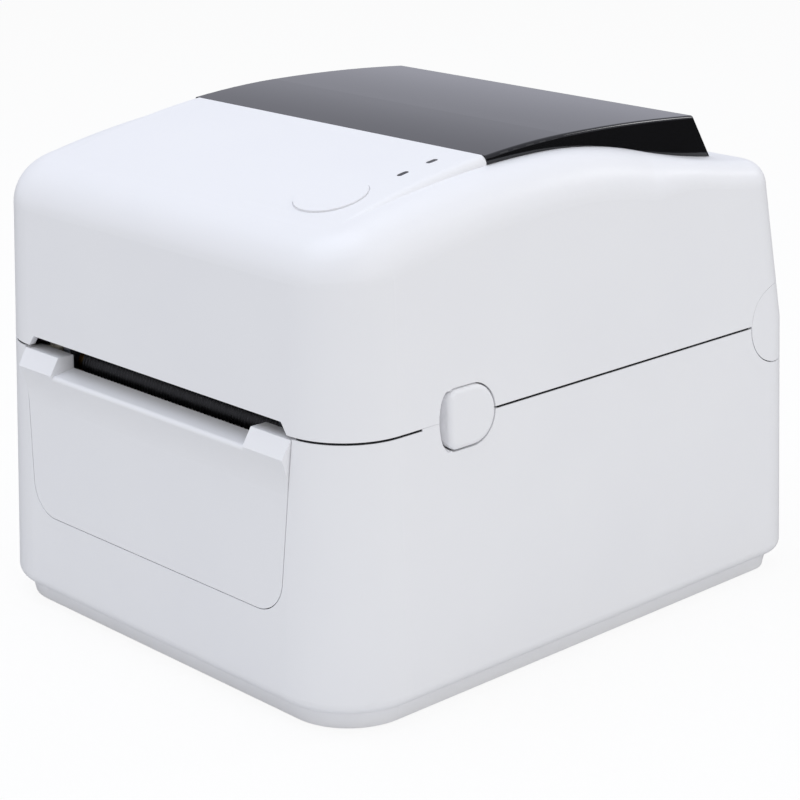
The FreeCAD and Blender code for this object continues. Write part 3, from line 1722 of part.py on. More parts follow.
def rack_shape():
    """A toothed bar from the left holder past the pinion, with a gap in line with the pinion's middle."""
    module = dim.rack_module.value
    pitch = math.pi * module
    root = RACK_ROOT.value
    tip = root + 2.25 * module
    lean = math.tan(PRESSURE)
    half = pitch / 4 - dim.rack_backlash.value / 2
    left = HOLDER_X[1].value
    right = dim.rack_reach.value
    points = [Vector(right, RACK_BACK.value, 0), Vector(left, RACK_BACK.value, 0), Vector(left, root, 0)]
    first = math.ceil((left + pitch) / pitch)
    last = math.floor((right - pitch) / pitch)
    for index in range(first, last):
        middle = (index + 0.5) * pitch
        wide = half + 1.25 * module * lean
        slim = half - module * lean
        points.append(Vector(middle - wide, root, 0))
        points.append(Vector(middle - slim, tip, 0))
        points.append(Vector(middle + slim, tip, 0))
        points.append(Vector(middle + wide, root, 0))
    points.append(Vector(right, root, 0))
    face = Part.Face(Part.makePolygon(points + points[:1]))
    return face.extrude(Vector(0, 0, dim.rack_height.value))


def make_media_holders():
    """The left holder with its rack in front of the pinion, and the right one half a turn about it."""
    low = dim.tray_height + dim.holder_gap
    half = dim.holder_width / 2
    radius = dim.holder_top_radius
    y, z = ROLL
    outline = [
        (y - half, low),
        (y + half, low),
        (y + radius, z, -radius),
        (y, z + radius, -radius),
        (y - radius, z),
    ]
    upright = prism("holder_upright", "YZ", outline, dim.holder_wall, offset=HOLDER_X[0])
    stem = box("holder_stem_block", HOLDER_X, STEM_Y, (RACK_Z[0], low))
    foot = box("holder_foot", HOLDER_X, (RACK_BACK, STEM_Y[1]), RACK_Z)
    rack = feature("holder_rack", rack_shape(), Vector(0, 0, RACK_Z[0].value), Rotation())
    axle_end = HOLDER_X[1] + dim.holder_gap + dim.hub_length + dim.holder_gap
    axle = rod("holder_axle", "x", dim.axle_radius, (HOLDER_X[1], axle_end), ROLL)
    head = rod("holder_axle_head", "x", dim.axle_head_radius, (axle_end, axle_end + dim.axle_head), ROLL)
    left = fuse("media_holder_left", upright, stem, foot, rack, axle, head)
    across = mirror("media_holder_across", left)
    right = doc.addObject("Part::Mirroring", "media_holder_right")
    right.Source = across
    right.Normal = Vector(0, 1, 0)
    bind(right, "Base.y", BAY_Y)
    return left, right


def make_roll_hub():
    """A cone that carries one end of the roll's core, with a flange against the holder."""
    start = HOLDER_X[1] + dim.holder_gap
    cone = doc.addObject("Part::Cone", "hub_cone")
    bind(cone, "Radius1", dim.hub_radius)
    bind(cone, "Radius2", dim.hub_tip_radius)
    bind(cone, "Height", dim.hub_length)
    cone.Placement = FreeCAD.Placement(Vector(), ROD_TURN["x"])
    move(cone, start, *ROLL)
    flange = rod("hub_rim", "x", dim.hub_flange_radius, (start, start + dim.hub_flange), ROLL)
    bore = rod("hub_bore", "x", dim.axle_radius + dim.running_gap, (start, start + dim.hub_length), ROLL)
    return cut("roll_hub_left", fuse("hub_blank", cone, flange), bore)


def make_centring_pinion():
    teeth = round(dim.centring_teeth.value)
    bore = (dim.centring_pin_radius + dim.running_gap).value
    low = RACK_Z[0] + dim.holder_gap / 2
    width = (dim.rack_height - dim.holder_gap).value
    shape = gear_shape(teeth, dim.rack_module.value, dim.rack_backlash.value, width, bore)
    gear = feature(
        "centring_pinion",
        shape,
        Vector(0, BAY_Y.value, low.value),
        Rotation(Vector(0, 0, 1), 90),
    )
    middle = (0, BAY_Y)
    pin_ends = (CASE_FLOOR, RACK_Z[1] + dim.shaft_end)
    pin = rod("centring_pin_shank", "z", dim.centring_pin_radius, pin_ends, middle)
    seat = rod("centring_pin_seat", "z", dim.centring_flange, (CASE_FLOOR, low - dim.holder_gap), middle)
    return gear, fuse("centring_pin", pin, seat)


# Print head, carried by a frame across the cover.
HEAD_LOW = PLATEN[1] + dim.platen_radius + dim.head_gap
SINK_LOW = HEAD_LOW + dim.heater_wall
SINK_FRONT = PLATEN[0] - dim.sink_setback
BRACKET_LOW = SINK_LOW + dim.sink_base + dim.sink_fin
BRACKET_TOP = BRACKET_LOW + dim.bracket_wall
PIVOT = (FRONT + dim.pivot_setback, PLATEN[1] + dim.pivot_rise)
BRACKET_REAR = FRONT + dim.bracket_rear
BRACKET_SIDE = dim.bracket_width / 2
HEAD_LUG_X = (BRACKET_SIDE + dim.lug_gap, BRACKET_SIDE + dim.lug_gap + dim.lug_wall)


def make_cover_frame():
    body = new_body("cover_frame_plate")
    sketch = new_sketch(body, "XY", FRAME_LOW)
    draw_rounded_rectangle(
        sketch,
        (-FRAME_SIDE, FRAME_SIDE),
        (FRONT + dim.frame_front, FRAME_REAR),
        dim.frame_round,
        dim.tray_round,
    )
    pad(body, sketch, dim.frame_wall)
    y, z = PIVOT
    ear = dim.pivot_ear
    outline = [
        (y - ear, z, -ear),
        (y, z - ear, -ear),
        (y + ear, z),
        (y + ear, FRAME_LOW),
        (y - ear, FRAME_LOW),
    ]
    lug = prism("head_lug_right", "YZ", outline, dim.lug_wall, offset=HEAD_LUG_X[0])
    blank = fuse("cover_frame_blank", body, lug, mirror("head_lug_left", lug))
    eye = rod("cover_frame_eye", "x", dim.pivot_radius, (-HEAD_LUG_X[1], HEAD_LUG_X[1]), PIVOT)
    return cut("cover_frame", blank, eye)


def make_head_pivot_pin():
    return rod("head_pivot_pin", "x", dim.pivot_radius, (-HEAD_LUG_X[1], HEAD_LUG_X[1]), PIVOT)


def make_head_bracket():
    """A folded steel channel with an ear at each side for the pivot."""
    plate = box(
        "bracket_plate",
        (-BRACKET_SIDE, BRACKET_SIDE),
        (SINK_FRONT, BRACKET_REAR),
        (BRACKET_LOW, BRACKET_TOP),
    )
    ear = dim.pivot_ear
    flange = box(
        "bracket_flange",
        (BRACKET_SIDE - dim.bracket_wall, BRACKET_SIDE),
        (PIVOT[0] - ear, BRACKET_REAR),
        (PIVOT[1] - ear, BRACKET_LOW),
    )
    blank = fuse("bracket_blank", plate, flange, mirror("bracket_flange_left", flange))
    eye = rod("bracket_eye", "x", dim.pivot_radius + dim.running_gap, (-BRACKET_SIDE, BRACKET_SIDE), PIVOT)
    return cut("head_bracket", blank, eye)


def make_heat_sink():
    """An extruded comb: a base with fins that reach up to the bracket."""
    body = new_body("heat_sink")
    base = new_sketch(body, "YZ")
    top = SINK_LOW + dim.sink_base
    rear = SINK_FRONT + dim.sink_depth
    draw_outline(base, [(SINK_FRONT, SINK_LOW), (rear, SINK_LOW), (rear, top), (SINK_FRONT, top)])
    pad(body, base, dim.sink_width, symmetric=True)
    fin = new_sketch(body, "YZ")
    fin_rear = SINK_FRONT + dim.sink_fin_wall
    draw_outline(
        fin,
        [(SINK_FRONT, top), (fin_rear, top), (fin_rear, BRACKET_LOW), (SINK_FRONT, BRACKET_LOW)],
    )
    first = pad(body, fin, dim.sink_width, symmetric=True)
    doc.recompute()
    count = int(((dim.sink_depth - dim.sink_fin_wall) / dim.sink_fin_pitch).value) + 1
    pattern = body.newObject("PartDesign::LinearPattern", "heat_sink_fins")
    pattern.Originals = [first]
    pattern.Direction = (fin, ["H_Axis"])
    bind(pattern, "Length", dim.sink_fin_pitch * (count - 1))
    pattern.Occurrences = count
    body.Tip = pattern
    return body


def make_heater_strip():
    half = dim.heater_width / 2
    return box(
        "heater_strip",
        (-half, half),
        (SINK_FRONT + dim.seat_gap, SINK_FRONT + dim.seat_gap + dim.heater_depth),
        (HEAD_LOW, SINK_LOW),
    )


def make_head_springs():
    """Two bowed leaf springs between the frame and the head's bracket."""
    rise = FRAME_LOW - BRACKET_TOP - dim.seat_gap - dim.spring_wall
    half = dim.spring_run / 2
    bow = (half * half + rise * rise) / (rise * 2)
    middle = SINK_FRONT + dim.sink_depth / 2
    low = BRACKET_TOP + dim.seat_gap
    outer = bow + dim.spring_wall
    outline = [
        (middle - half, FRAME_LOW),
        (middle - half, low + rise, -bow),
        (middle, low, -bow),
        (middle + half, low + rise),
        (middle + half, FRAME_LOW),
        (middle + half - dim.spring_wall * 2, FRAME_LOW, outer),
        (middle, low + dim.spring_wall, outer),
        (middle - half + dim.spring_wall * 2, FRAME_LOW),
    ]
    leaf = prism("head_spring", "YZ", outline, dim.spring_width, offset=dim.spring_x)
    return pair("head_springs", leaf)


def make_main_board():
    return box(
        "main_board",
        (-dim.main_board_left, dim.main_board_right),
        (BOARD_FRONT, BOARD_REAR),
        (dim.main_board_low, dim.main_board_high),
    )


def socket_block(name, x, width):
    return box(
        name,
        (x - width / 2, x + width / 2),
        (BOARD_REAR, SOCKET_REAR),
        (dim.socket_low, dim.socket_low + dim.usb_height),
    )


def make_usb_socket():
    """A square socket with a tongue in its mouth."""
    z = dim.socket_low + dim.usb_height / 2
    mouth = box(
        "usb_mouth",
        (dim.usb_x - dim.usb_mouth_width / 2, dim.usb_x + dim.usb_mouth_width / 2),
        (SOCKET_REAR - dim.usb_mouth_depth, SOCKET_REAR),
        (z - dim.usb_mouth_height / 2, z + dim.usb_mouth_height / 2),
    )
    tongue = box(
        "usb_tongue",
        (dim.usb_x - dim.usb_tongue_width / 2, dim.usb_x + dim.usb_tongue_width / 2),
        (SOCKET_REAR - dim.usb_mouth_depth, SOCKET_REAR - dim.lug_gap),
        (z - dim.usb_tongue_height / 2, z + dim.usb_tongue_height / 2),
    )
    shell = cut("usb_shell", socket_block("usb_block", dim.usb_x, dim.usb_width), mouth)
    return fuse("usb_socket", shell, tongue)


def make_power_socket():
    """A round low-voltage socket with its centre pin."""
    centre = (dim.power_x, dim.socket_low + dim.usb_height / 2)
    depth = (SOCKET_REAR - dim.power_bore_depth, SOCKET_REAR)
    bore = rod("power_bore", "y", dim.power_bore_radius, depth, centre)
    pin = rod("power_pin", "y", dim.power_pin_radius, (depth[0], depth[1] - dim.lug_gap), centre)
    shell = cut("power_shell", socket_block("power_block", dim.power_x, dim.power_width), bore)
    return fuse("power_socket", shell, pin)


def make_power_switch():
    """A framed rocker in the rear wall: the rocker is round about its pin, with a hollow face."""
    x = dim.switch_x
    side = dim.rocker_width / 2 + dim.rocker_gap
    high = dim.rocker_radius + dim.rocker_gap
    rear = SWITCH_SEAT + dim.switch_flange_wall
    tube = box(
        "switch_tube",
        (x - side - dim.switch_wall, x + side + dim.switch_wall),
        (rear - dim.switch_depth, rear),
        (dim.switch_z - high - dim.switch_wall, dim.switch_z + high + dim.switch_wall),
    )
    rim = dim.switch_wall + dim.switch_flange
    flange = box(
        "switch_rim",
        (x - side - rim, x + side + rim),
        (SWITCH_SEAT, rear),
        (dim.switch_z - high - rim, dim.switch_z + high + rim),
    )
    hollow = box(
        "switch_hollow",
        (x - side, x + side),
        (rear - dim.switch_depth + dim.switch_wall, rear + dim.wall),
        (dim.switch_z - high, dim.switch_z + high),
    )
    pin_span = (x - side - dim.rocker_pin, x + side + dim.rocker_pin)
    eye = rod("switch_eye", "x", dim.rocker_pin_radius + dim.running_gap, pin_span, ROCKER)
    frame = cut("switch_frame", fuse("switch_blank", tube, flange), hollow, eye)

    radius = dim.rocker_radius
    corner = square_root(as_size(0.5))
    turned = new_body("rocker_block")
    sketch = new_sketch(turned, "YZ")
    draw_outline(
        sketch,
        [
            (radius * corner, -radius * corner),
            (radius * corner - dim.rocker_hollow / 2, 0),
            (radius * corner, radius * corner, -radius),
            (-radius * corner, radius * corner, -radius),
            (-radius * corner, -radius * corner, -radius),
        ],
    )
    pad(turned, sketch, dim.rocker_width, symmetric=True)
    bind(turned, "Placement.Rotation.Axis.x", 1)
    bind(turned, "Placement.Rotation.Axis.y", 0)
    bind(turned, "Placement.Rotation.Axis.z", 0)
    turned.setExpression("Placement.Rotation.Angle", f"{dim.rocker_tilt.text} * 1deg")
    move(turned, x, *ROCKER)
    end = dim.rocker_pin - dim.running_gap * 2
    pin = rod("rocker_pin", "x", dim.rocker_pin_radius, (x - side - end, x + side + end), ROCKER)
    return frame, fuse("power_rocker", turned, pin)


def has_failed(item):
    return "Invalid" in item.State or "Error" in item.State


def main():
    whole = fuse(
        "whole_form",
        case_form("whole_case", 0, dim.case_bottom, COVER_BOTTOM),
        cover_form("whole_cover", 0, COVER_BOTTOM),
    )
    spine = make_spine()
    nodes = [
        make_base_plate(),
        make_feet(),
        make_lower_case(),
        make_front_panel(),
        make_tear_bar(),
        make_upper_cover(spine, cover_form("cover_outer", 0, COVER_BOTTOM), whole),
        make_window(),
        make_feed_button(),
        make_light_pipes(spine),
        make_control_board(),
        make_hinge_brackets(),
        make_hinge_pins(),
        make_chassis(),
        make_paper_guide(),
        make_gap_sensor(),
        *make_platen(),
        make_platen_bushes(),
        *make_idler(),
        *make_motor(),
        make_media_tray(),
        *make_media_holders(),
        *make_centring_pinion(),
        make_cover_frame(),
        make_head_pivot_pin(),
        make_head_bracket(),
        make_heat_sink(),
        make_heater_strip(),
        make_head_springs(),
        make_main_board(),
        make_usb_socket(),
        make_power_socket(),
        *make_power_switch(),
    ]
    cap = make_hinge_cap(whole)
    latch = make_latch("latch_button_right")
    hub = make_roll_hub()
    nodes += [cap, mirror("hinge_cap_left", cap)]
    nodes += [latch, mirror("latch_button_left", latch), pair("latch_pins", make_latch_pin("latch_pin"))]
    nodes += [hub, mirror("roll_hub_right", hub)]
    doc.recompute()
    failed = [item.Name for item in doc.Objects if has_failed(item)]
    for node in nodes:
        node.Label = node.Name
        shape = node.Shape
        if shape.isNull() or not shape.isValid() or not shape.Solids:
            failed.append(node.Name)
    if failed:
        raise RuntimeError(f"not sound: {failed}")
    os.makedirs("parts", exist_ok=True)
    for node in nodes:
        node.Shape.exportStep(f"parts/{node.Name}.step")
        print(f"{node.Name}: {len(node.Shape.Solids)} solids, {node.Shape.Volume:.1f} cubic mm")


main()
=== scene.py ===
# %% [markdown]
# # A desktop label printer
# The printer is a white clamshell case with a polished black window on its roof. The solids come from
# the CAD model, already in place, so this lesson is about finishes: what each surface is made of, how it
# was made, and how to say that with nodes. It also adds the small things that the solids leave out: the
# ribs of the rubber roller, painted shade in the seam, the screws and the parts on the circuit boards.

# %% Load the solids
import math

import bmesh
import bpy
from mathutils import Matrix, Vector


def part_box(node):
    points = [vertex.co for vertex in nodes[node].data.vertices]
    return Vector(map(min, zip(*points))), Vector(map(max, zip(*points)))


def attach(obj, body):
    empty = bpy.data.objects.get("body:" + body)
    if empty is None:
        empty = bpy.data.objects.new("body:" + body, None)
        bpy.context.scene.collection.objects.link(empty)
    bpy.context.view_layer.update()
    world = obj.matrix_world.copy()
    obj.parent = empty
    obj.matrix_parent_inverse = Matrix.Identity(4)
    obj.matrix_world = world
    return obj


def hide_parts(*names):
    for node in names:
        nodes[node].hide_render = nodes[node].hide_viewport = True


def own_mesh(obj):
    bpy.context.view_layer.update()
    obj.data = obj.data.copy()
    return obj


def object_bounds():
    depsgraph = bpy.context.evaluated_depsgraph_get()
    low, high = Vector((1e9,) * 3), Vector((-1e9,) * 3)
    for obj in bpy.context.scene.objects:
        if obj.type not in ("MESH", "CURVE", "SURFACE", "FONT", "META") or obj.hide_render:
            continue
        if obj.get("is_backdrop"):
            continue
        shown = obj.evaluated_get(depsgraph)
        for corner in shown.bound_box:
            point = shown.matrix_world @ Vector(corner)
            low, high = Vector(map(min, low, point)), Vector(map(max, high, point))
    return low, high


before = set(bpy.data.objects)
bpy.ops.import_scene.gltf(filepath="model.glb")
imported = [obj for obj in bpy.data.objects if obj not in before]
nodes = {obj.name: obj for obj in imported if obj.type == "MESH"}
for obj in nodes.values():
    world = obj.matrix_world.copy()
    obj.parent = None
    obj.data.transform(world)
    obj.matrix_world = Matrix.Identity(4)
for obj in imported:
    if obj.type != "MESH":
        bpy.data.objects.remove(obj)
cad_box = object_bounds()
MM = 0.001
print("solids loaded:", len(nodes))

# %% [markdown]
# ## The camera
# The picture was taken from the front right, a little above the roof. Azimuth turns the camera about the
# printer, elevation lifts it, and a slight roll levels the picture the way the photographer held it. The
# lens is given for a 36 mm sensor on a square picture.

# %% Camera
AZIMUTH = math.radians(46.743)
ELEVATION = math.radians(17.891)
ROLL = math.radians(-0.395)
PLACE = Vector((0.6240, -0.5849, 0.3485))

back = Vector(
    (
        math.sin(AZIMUTH) * math.cos(ELEVATION),
        -math.cos(AZIMUTH) * math.cos(ELEVATION),
        math.sin(ELEVATION),
    )
)
level = Vector((math.cos(AZIMUTH), math.sin(AZIMUTH), 0))
upward = back.cross(level)
right = level * math.cos(ROLL) + upward * math.sin(ROLL)
up = upward * math.cos(ROLL) - level * math.sin(ROLL)
camera_data = bpy.data.cameras.new("camera")
camera_data.sensor_width = 36
camera_data.lens = 103.37
camera = bpy.data.objects.new("camera", camera_data)
turn = Matrix((right, up, back)).transposed().to_4x4()
camera.matrix_world = Matrix.Translation(PLACE) @ turn
bpy.context.scene.collection.objects.link(camera)
bpy.context.scene.camera = camera
bpy.context.scene.view_settings.view_transform = "Standard"
print("camera at", [round(value, 3) for value in PLACE])

# %% [markdown]
# ## Colours and nodes
# Colours are written as sRGB hex, the way a colour picker shows them, and turned to the linear values
# that Blender works with. One small function adds a node, sets it up and links its inputs, so that a
# material reads as a short list of what feeds what.


# %% Colour and node helpers
def linear(hex_code):
    """A colour from its sRGB hex code, as linear red, green, blue and alpha."""
    values = [int(hex_code[start : start + 2], 16) / 255 for start in (1, 3, 5)]
    return [v / 12.92 if v <= 0.04045 else ((v + 0.055) / 1.055) ** 2.4 for v in values] + [1.0]


def add(tree, kind, inputs=None, **settings):
    """A node with its settings; an input is a value or another node's output socket."""
    item = tree.nodes.new(kind)
    for name, value in settings.items():
        setattr(item, name, value)
    for name, value in (inputs or {}).items():
        if isinstance(value, bpy.types.NodeSocket):
            tree.links.new(value, item.inputs[name])
        else:
            item.inputs[name].default_value = value
    return item


def per_metre(millimetres):
    """The texture scale whose pattern repeats about once in so many millimetres."""
    return 1 / (millimetres * MM)


def new_material(name):
    """An empty material with its shader and its Object coordinates."""
    material = bpy.data.materials.new(name)
    material.use_nodes = True
    tree = material.node_tree
    tree.nodes.clear()
    shader = add(tree, "ShaderNodeBsdfPrincipled")
    add(tree, "ShaderNodeOutputMaterial", {"Surface": shader.outputs["BSDF"]})
    place = add(tree, "ShaderNodeTexCoord").outputs["Object"]
    return material, tree, shader, place


print("mid grey in linear light:", round(linear("#808080")[0], 3))

# %% [markdown]
# A finish is more than a colour. Nearly every surface here varies in three ways: its tone drifts between
# two colours, its face isn't quite flat, and its sheen is uneven. One function lays these on a surface,
# each led by a pattern of its own. A texture's values crowd round the middle, so the sheen takes that
# middle and spreads it over its own range.

# %% Tones, relief and sheen
PATTERN_MIDDLE = {"From Min": 0.3, "From Max": 0.7}
# A Mix node set to colours takes them on these two sockets, and gives their mix on this output.
TONE_INPUTS = (6, 7)
TONE_OUTPUT = 2


def lay_finish(tree, shader, tones, relief, sheen=None):
    """Two tones, a relief in millimetres and, where it is given, an uneven sheen, each after a pattern."""
    pattern, light, dark = tones
    colours = {"Factor": pattern, TONE_INPUTS[0]: linear(light), TONE_INPUTS[1]: linear(dark)}
    tone = add(tree, "ShaderNodeMix", colours, data_type="RGBA")
    tree.links.new(tone.outputs[TONE_OUTPUT], shader.inputs["Base Color"])
    pattern, strength, depth = relief
    heights = {"Height": pattern, "Strength": strength, "Distance": depth * MM}
    pressed = add(tree, "ShaderNodeBump", heights)
    tree.links.new(pressed.outputs["Normal"], shader.inputs["Normal"])
    if sheen:
        pattern, smoothest, roughest = sheen
        limits = {"Value": pattern, "To Min": smoothest, "To Max": roughest, **PATTERN_MIDDLE}
        uneven = add(tree, "ShaderNodeMapRange", limits)
        tree.links.new(uneven.outputs["Result"], shader.inputs["Roughness"])


# %% [markdown]
# ## Moulded plastics
# Most of the printer is ABS from an injection mould. The mould is spark eroded, which leaves a very fine
# even grain that spreads the highlight, and the resin's tone drifts a little from place to place. The
# grain is really about a tenth of a millimetre; it is drawn coarser so that it shows in the picture.


# %% Plastics
TONE_DRIFT = 45.0
SHEEN_DRIFT = 0.04


def moulded(name, light, dark, rough, grain_mm, grain_depth, ior=1.53):
    """Plastic out of a mould: a drifting tone, a grain that is pressed in and an uneven sheen."""
    material, tree, shader, place = new_material(name)
    clouds = {"Vector": place, "Scale": per_metre(TONE_DRIFT), "Detail": 2.0}
    drift = add(tree, "ShaderNodeTexNoise", clouds).outputs["Fac"]
    specks = {"Vector": place, "Scale": per_metre(grain_mm), "Detail": 3.0}
    grain = add(tree, "ShaderNodeTexNoise", specks).outputs["Fac"]
    sheen = (grain, rough - SHEEN_DRIFT, rough + SHEEN_DRIFT)
    lay_finish(tree, shader, (drift, light, dark), (grain, 0.5, grain_depth), sheen)
    shader.inputs["IOR"].default_value = ior
    return material


# White ABS is satin, so light rolls over its round edges without a hard spot.
white_abs = moulded("white_abs_spark_grain", "#F0F0F2", "#ECECEF", 0.40, 0.55, 0.006)
# The same resin in black: the grain shows as a thin grey bloom.
black_abs = moulded("black_abs_fine_grain", "#17171A", "#1E1E21", 0.48, 0.60, 0.02)
# Glass fibres reach the face of the nylon and leave it dull and a little mottled.
grey_nylon = moulded("grey_glass_filled_nylon", "#3B3C40", "#47484C", 0.55, 0.80, 0.03)
# Acetal looks waxy: a broad soft shine on a warm off-white.
ivory_acetal = moulded("ivory_acetal", "#E4E1D6", "#DAD6C8", 0.33, 1.2, 0.01, 1.48)
# A smoked pipe is nearly black while its light is off, with a small sharp highlight.
smoked_pipe = moulded("smoked_acrylic_pipe", "#191A1D", "#232428", 0.16, 2.0, 0.004, 1.49)
print("moulded plastics made")

# %% [markdown]
# The window is a different thing: black acrylic-like plastic from a mirror polished mould. It is so dark
# that all the eye sees is the room in it, stronger at a flat angle. What makes it real is that it isn't
# a perfect mirror: the sheet is a little wavy, and handling leaves a faint uneven haze.

# %% Window
black_window, tree, shader, place = new_material("black_polished_acrylic")
smears = {"Vector": place, "Scale": per_metre(30.0), "Detail": 4.0}
haze = add(tree, "ShaderNodeTexNoise", smears).outputs["Fac"]
swells = {"Vector": place, "Scale": per_metre(60.0), "Detail": 0.0}
wave = add(tree, "ShaderNodeTexNoise", swells).outputs["Fac"]
lay_finish(tree, shader, (haze, "#08080A", "#0D0D10"), (wave, 0.4, 0.25), (haze, 0.03, 0.09))
shader.inputs["IOR"].default_value = 1.52
print("window finish made")

# %% [markdown]
# ## Rubber, metal, ceramic and circuit board
# Rubber is dull with a dusty bloom, but a ground roller keeps a slight sheen. Turned pins and drawn rods
# keep fine lines along or round them, which a noise stretched along one axis gives. Zinc plated sheet has
# a faint patchwork of crystals, which a texture of cells gives. A circuit board is green lacquer over
# copper, so its tracks show as a slightly raised pattern in a second green. Pores, lines and tracks are
# really some tenths of a millimetre wide or less; they are drawn coarser so that they show.


# %% Rubber and metals
LINE_STRETCH = 0.04
LINE_SMOOTHER = 0.06
LINE_ROUGHER = 0.08


def rubber(name, light, dark, rough=(0.62, 0.8)):
    """Rubber with fine pores and a bloom that goes with its roughness."""
    material, tree, shader, place = new_material(name)
    dust = {"Vector": place, "Scale": per_metre(6.0), "Detail": 5.0}
    bloom = add(tree, "ShaderNodeTexNoise", dust).outputs["Fac"]
    pits = {"Vector": place, "Scale": per_metre(0.7), "Detail": 2.0}
    pores = add(tree, "ShaderNodeTexNoise", pits).outputs["Fac"]
    lay_finish(tree, shader, (bloom, light, dark), (pores, 0.4, 0.03), (bloom, *rough))
    return material


def metal(name, light, dark, rough, line_mm, along, depth=0.004):
    """Metal with fine lines: the noise is stretched along the way the tool or the die went."""
    material, tree, shader, place = new_material(name)
    scale = [LINE_STRETCH if axis == along else 1.0 for axis in "xyz"]
    drawn = add(tree, "ShaderNodeMapping", {"Vector": place, "Scale": scale}).outputs["Vector"]
    streaks = {"Vector": drawn, "Scale": per_metre(line_mm), "Detail": 3.0}
    lines = add(tree, "ShaderNodeTexNoise", streaks).outputs["Fac"]
    sheen = (lines, rough - LINE_SMOOTHER, rough + LINE_ROUGHER)
    lay_finish(tree, shader, (lines, light, dark), (lines, 0.5, depth), sheen)
    shader.inputs["Metallic"].default_value = 1.0
    return material


# The roller's rubber is ground, so its crests catch a slight shine.
black_rubber = rubber("black_nitrile_rubber", "#0C0C0D", "#141415", (0.26, 0.4))
# Moulded feet are a flat, dusty grey.
foot_rubber = rubber("grey_rubber_foot", "#2A2A2C", "#353537")
# A drawn rod shines in one clean streak along its length.
drawn_steel = metal("drawn_steel_rod", "#B9BABD", "#9FA1A5", 0.26, 0.8, "x")
# Rolled strip is darker, with its lines the way it left the rolls.
spring_steel = metal("rolled_spring_steel", "#A9AAAE", "#8C8E93", 0.3, 0.8, "y")
# Bronze pressed from powder holds oil in its pores, so it is a quiet brown gold.
bronze = metal("sintered_bronze", "#B58A4F", "#9C7440", 0.42, 0.9, "z")
# Extruded aluminium is pale and satin, with the die's lines along it.
extrusion = metal("extruded_aluminium", "#C9CBCF", "#B4B7BC", 0.36, 0.7, "x")
# Nickel plate is the brightest, with a warm tinge.
shell_steel = metal("nickel_plated_shell", "#C6C6C4", "#B2B2B0", 0.24, 1.0, "y")
print("rubber and metals made")

# %% Zinc sheet, enamel, ceramic
# Each crystal of the zinc has its own grey and its own sheen.
zinc_sheet, tree, shader, place = new_material("zinc_plated_sheet")
cells = add(tree, "ShaderNodeTexVoronoi", {"Vector": place, "Scale": per_metre(7.0)})
patch = add(tree, "ShaderNodeSeparateColor", {"Color": cells.outputs["Color"]}).outputs["Red"]
dimples = {"Vector": place, "Scale": per_metre(1.2), "Detail": 2.0}
dents = add(tree, "ShaderNodeTexNoise", dimples).outputs["Fac"]
lay_finish(tree, shader, (patch, "#A4A9AF", "#B7BBC0"), (dents, 0.4, 0.01), (patch, 0.3, 0.42))
shader.inputs["Metallic"].default_value = 1.0

# Stove enamel flows before it sets, which leaves a soft waviness in its shine.
black_enamel = moulded("black_stove_enamel", "#141416", "#1B1B1E", 0.34, 1.6, 0.02)
# Glaze is glass: a sharp highlight over a cream tone.
glazed_ceramic = moulded("glazed_ceramic", "#D9D3C6", "#CFC8B9", 0.16, 3.0, 0.002, 1.6)
print("zinc sheet, enamel and ceramic made")

# %% Circuit board lacquer
circuit, tree, shader, place = new_material("green_circuit_board")
squares = {"Vector": place, "Scale": per_metre(2.6), "Randomness": 0.35}
tracks = add(tree, "ShaderNodeTexVoronoi", squares, distance="MANHATTAN", feature="F1")
limits = {"Value": tracks.outputs["Distance"], **PATTERN_MIDDLE}
edge = add(tree, "ShaderNodeMapRange", limits).outputs["Result"]
lay_finish(tree, shader, (edge, "#12512F", "#0C3A22"), (edge, 0.5, 0.03))
shader.inputs["Roughness"].default_value = 0.32
print("board lacquer made")

# %% [markdown]
# ## Finish on each solid
# Each solid gets the finish of its real piece. The case, the front panel, the latches, the hinge caps and
# the feed button come from one white resin, so they share one material.

# %% Give each solid its finish
FINISHES = {
    white_abs: "lower_case upper_cover front_panel feed_button base_plate latch_button_left "
    "latch_button_right hinge_cap_left hinge_cap_right",
    black_window: "top_window",
    black_abs: "paper_guide gap_sensor media_holder_left media_holder_right power_socket switch_frame "
    "power_rocker",
    grey_nylon: "media_tray cover_frame hinge_brackets roll_hub_left roll_hub_right",
    ivory_acetal: "platen_gear idler_gear centring_pinion",
    smoked_pipe: "light_pipes",
    foot_rubber: "rubber_feet",
    black_rubber: "platen_rubber",
    drawn_steel: "platen_shaft idler_pin hinge_pins latch_pins centring_pin head_pivot_pin tear_bar",
    spring_steel: "head_springs",
    bronze: "platen_bushes motor_pinion",
    extrusion: "heat_sink",
    shell_steel: "usb_socket",
    zinc_sheet: "chassis head_bracket",
    black_enamel: "stepper_motor",
    glazed_ceramic: "heater_strip",
    circuit: "main_board control_board",
}
for material, names in FINISHES.items():
    for name in names.split():
        nodes[name].data.materials.clear()
        nodes[name].data.materials.append(material)
print("finished solids:", sum(len(names.split()) for names in FINISHES.values()))

# %% [markdown]
# ## The ribbed roller
# The rubber roller that drives the labels shows as a dark ribbed line in the slot. Ribs repeat along a
# path, so Geometry Nodes suit them: a line along the roller is cut into many points, a sine wave of their
# distance sets the radius at each point, and a circle is swept along the line. The ribs are then real
# geometry, and their pitch and depth are two named inputs.


# %% Geometry Nodes helpers
def new_tree(name, inputs):
    """A geometry tree with named inputs; returns the tree, its inputs and its output node."""
    tree = bpy.data.node_groups.new(name, "GeometryNodeTree")
    tree.interface.new_socket("Geometry", in_out="INPUT", socket_type="NodeSocketGeometry")
    for label, kind in inputs.items():
        tree.interface.new_socket(label, in_out="INPUT", socket_type=f"NodeSocket{kind}")
    tree.interface.new_socket("Geometry", in_out="OUTPUT", socket_type="NodeSocketGeometry")
    return tree, add(tree, "NodeGroupInput").outputs, add(tree, "NodeGroupOutput")


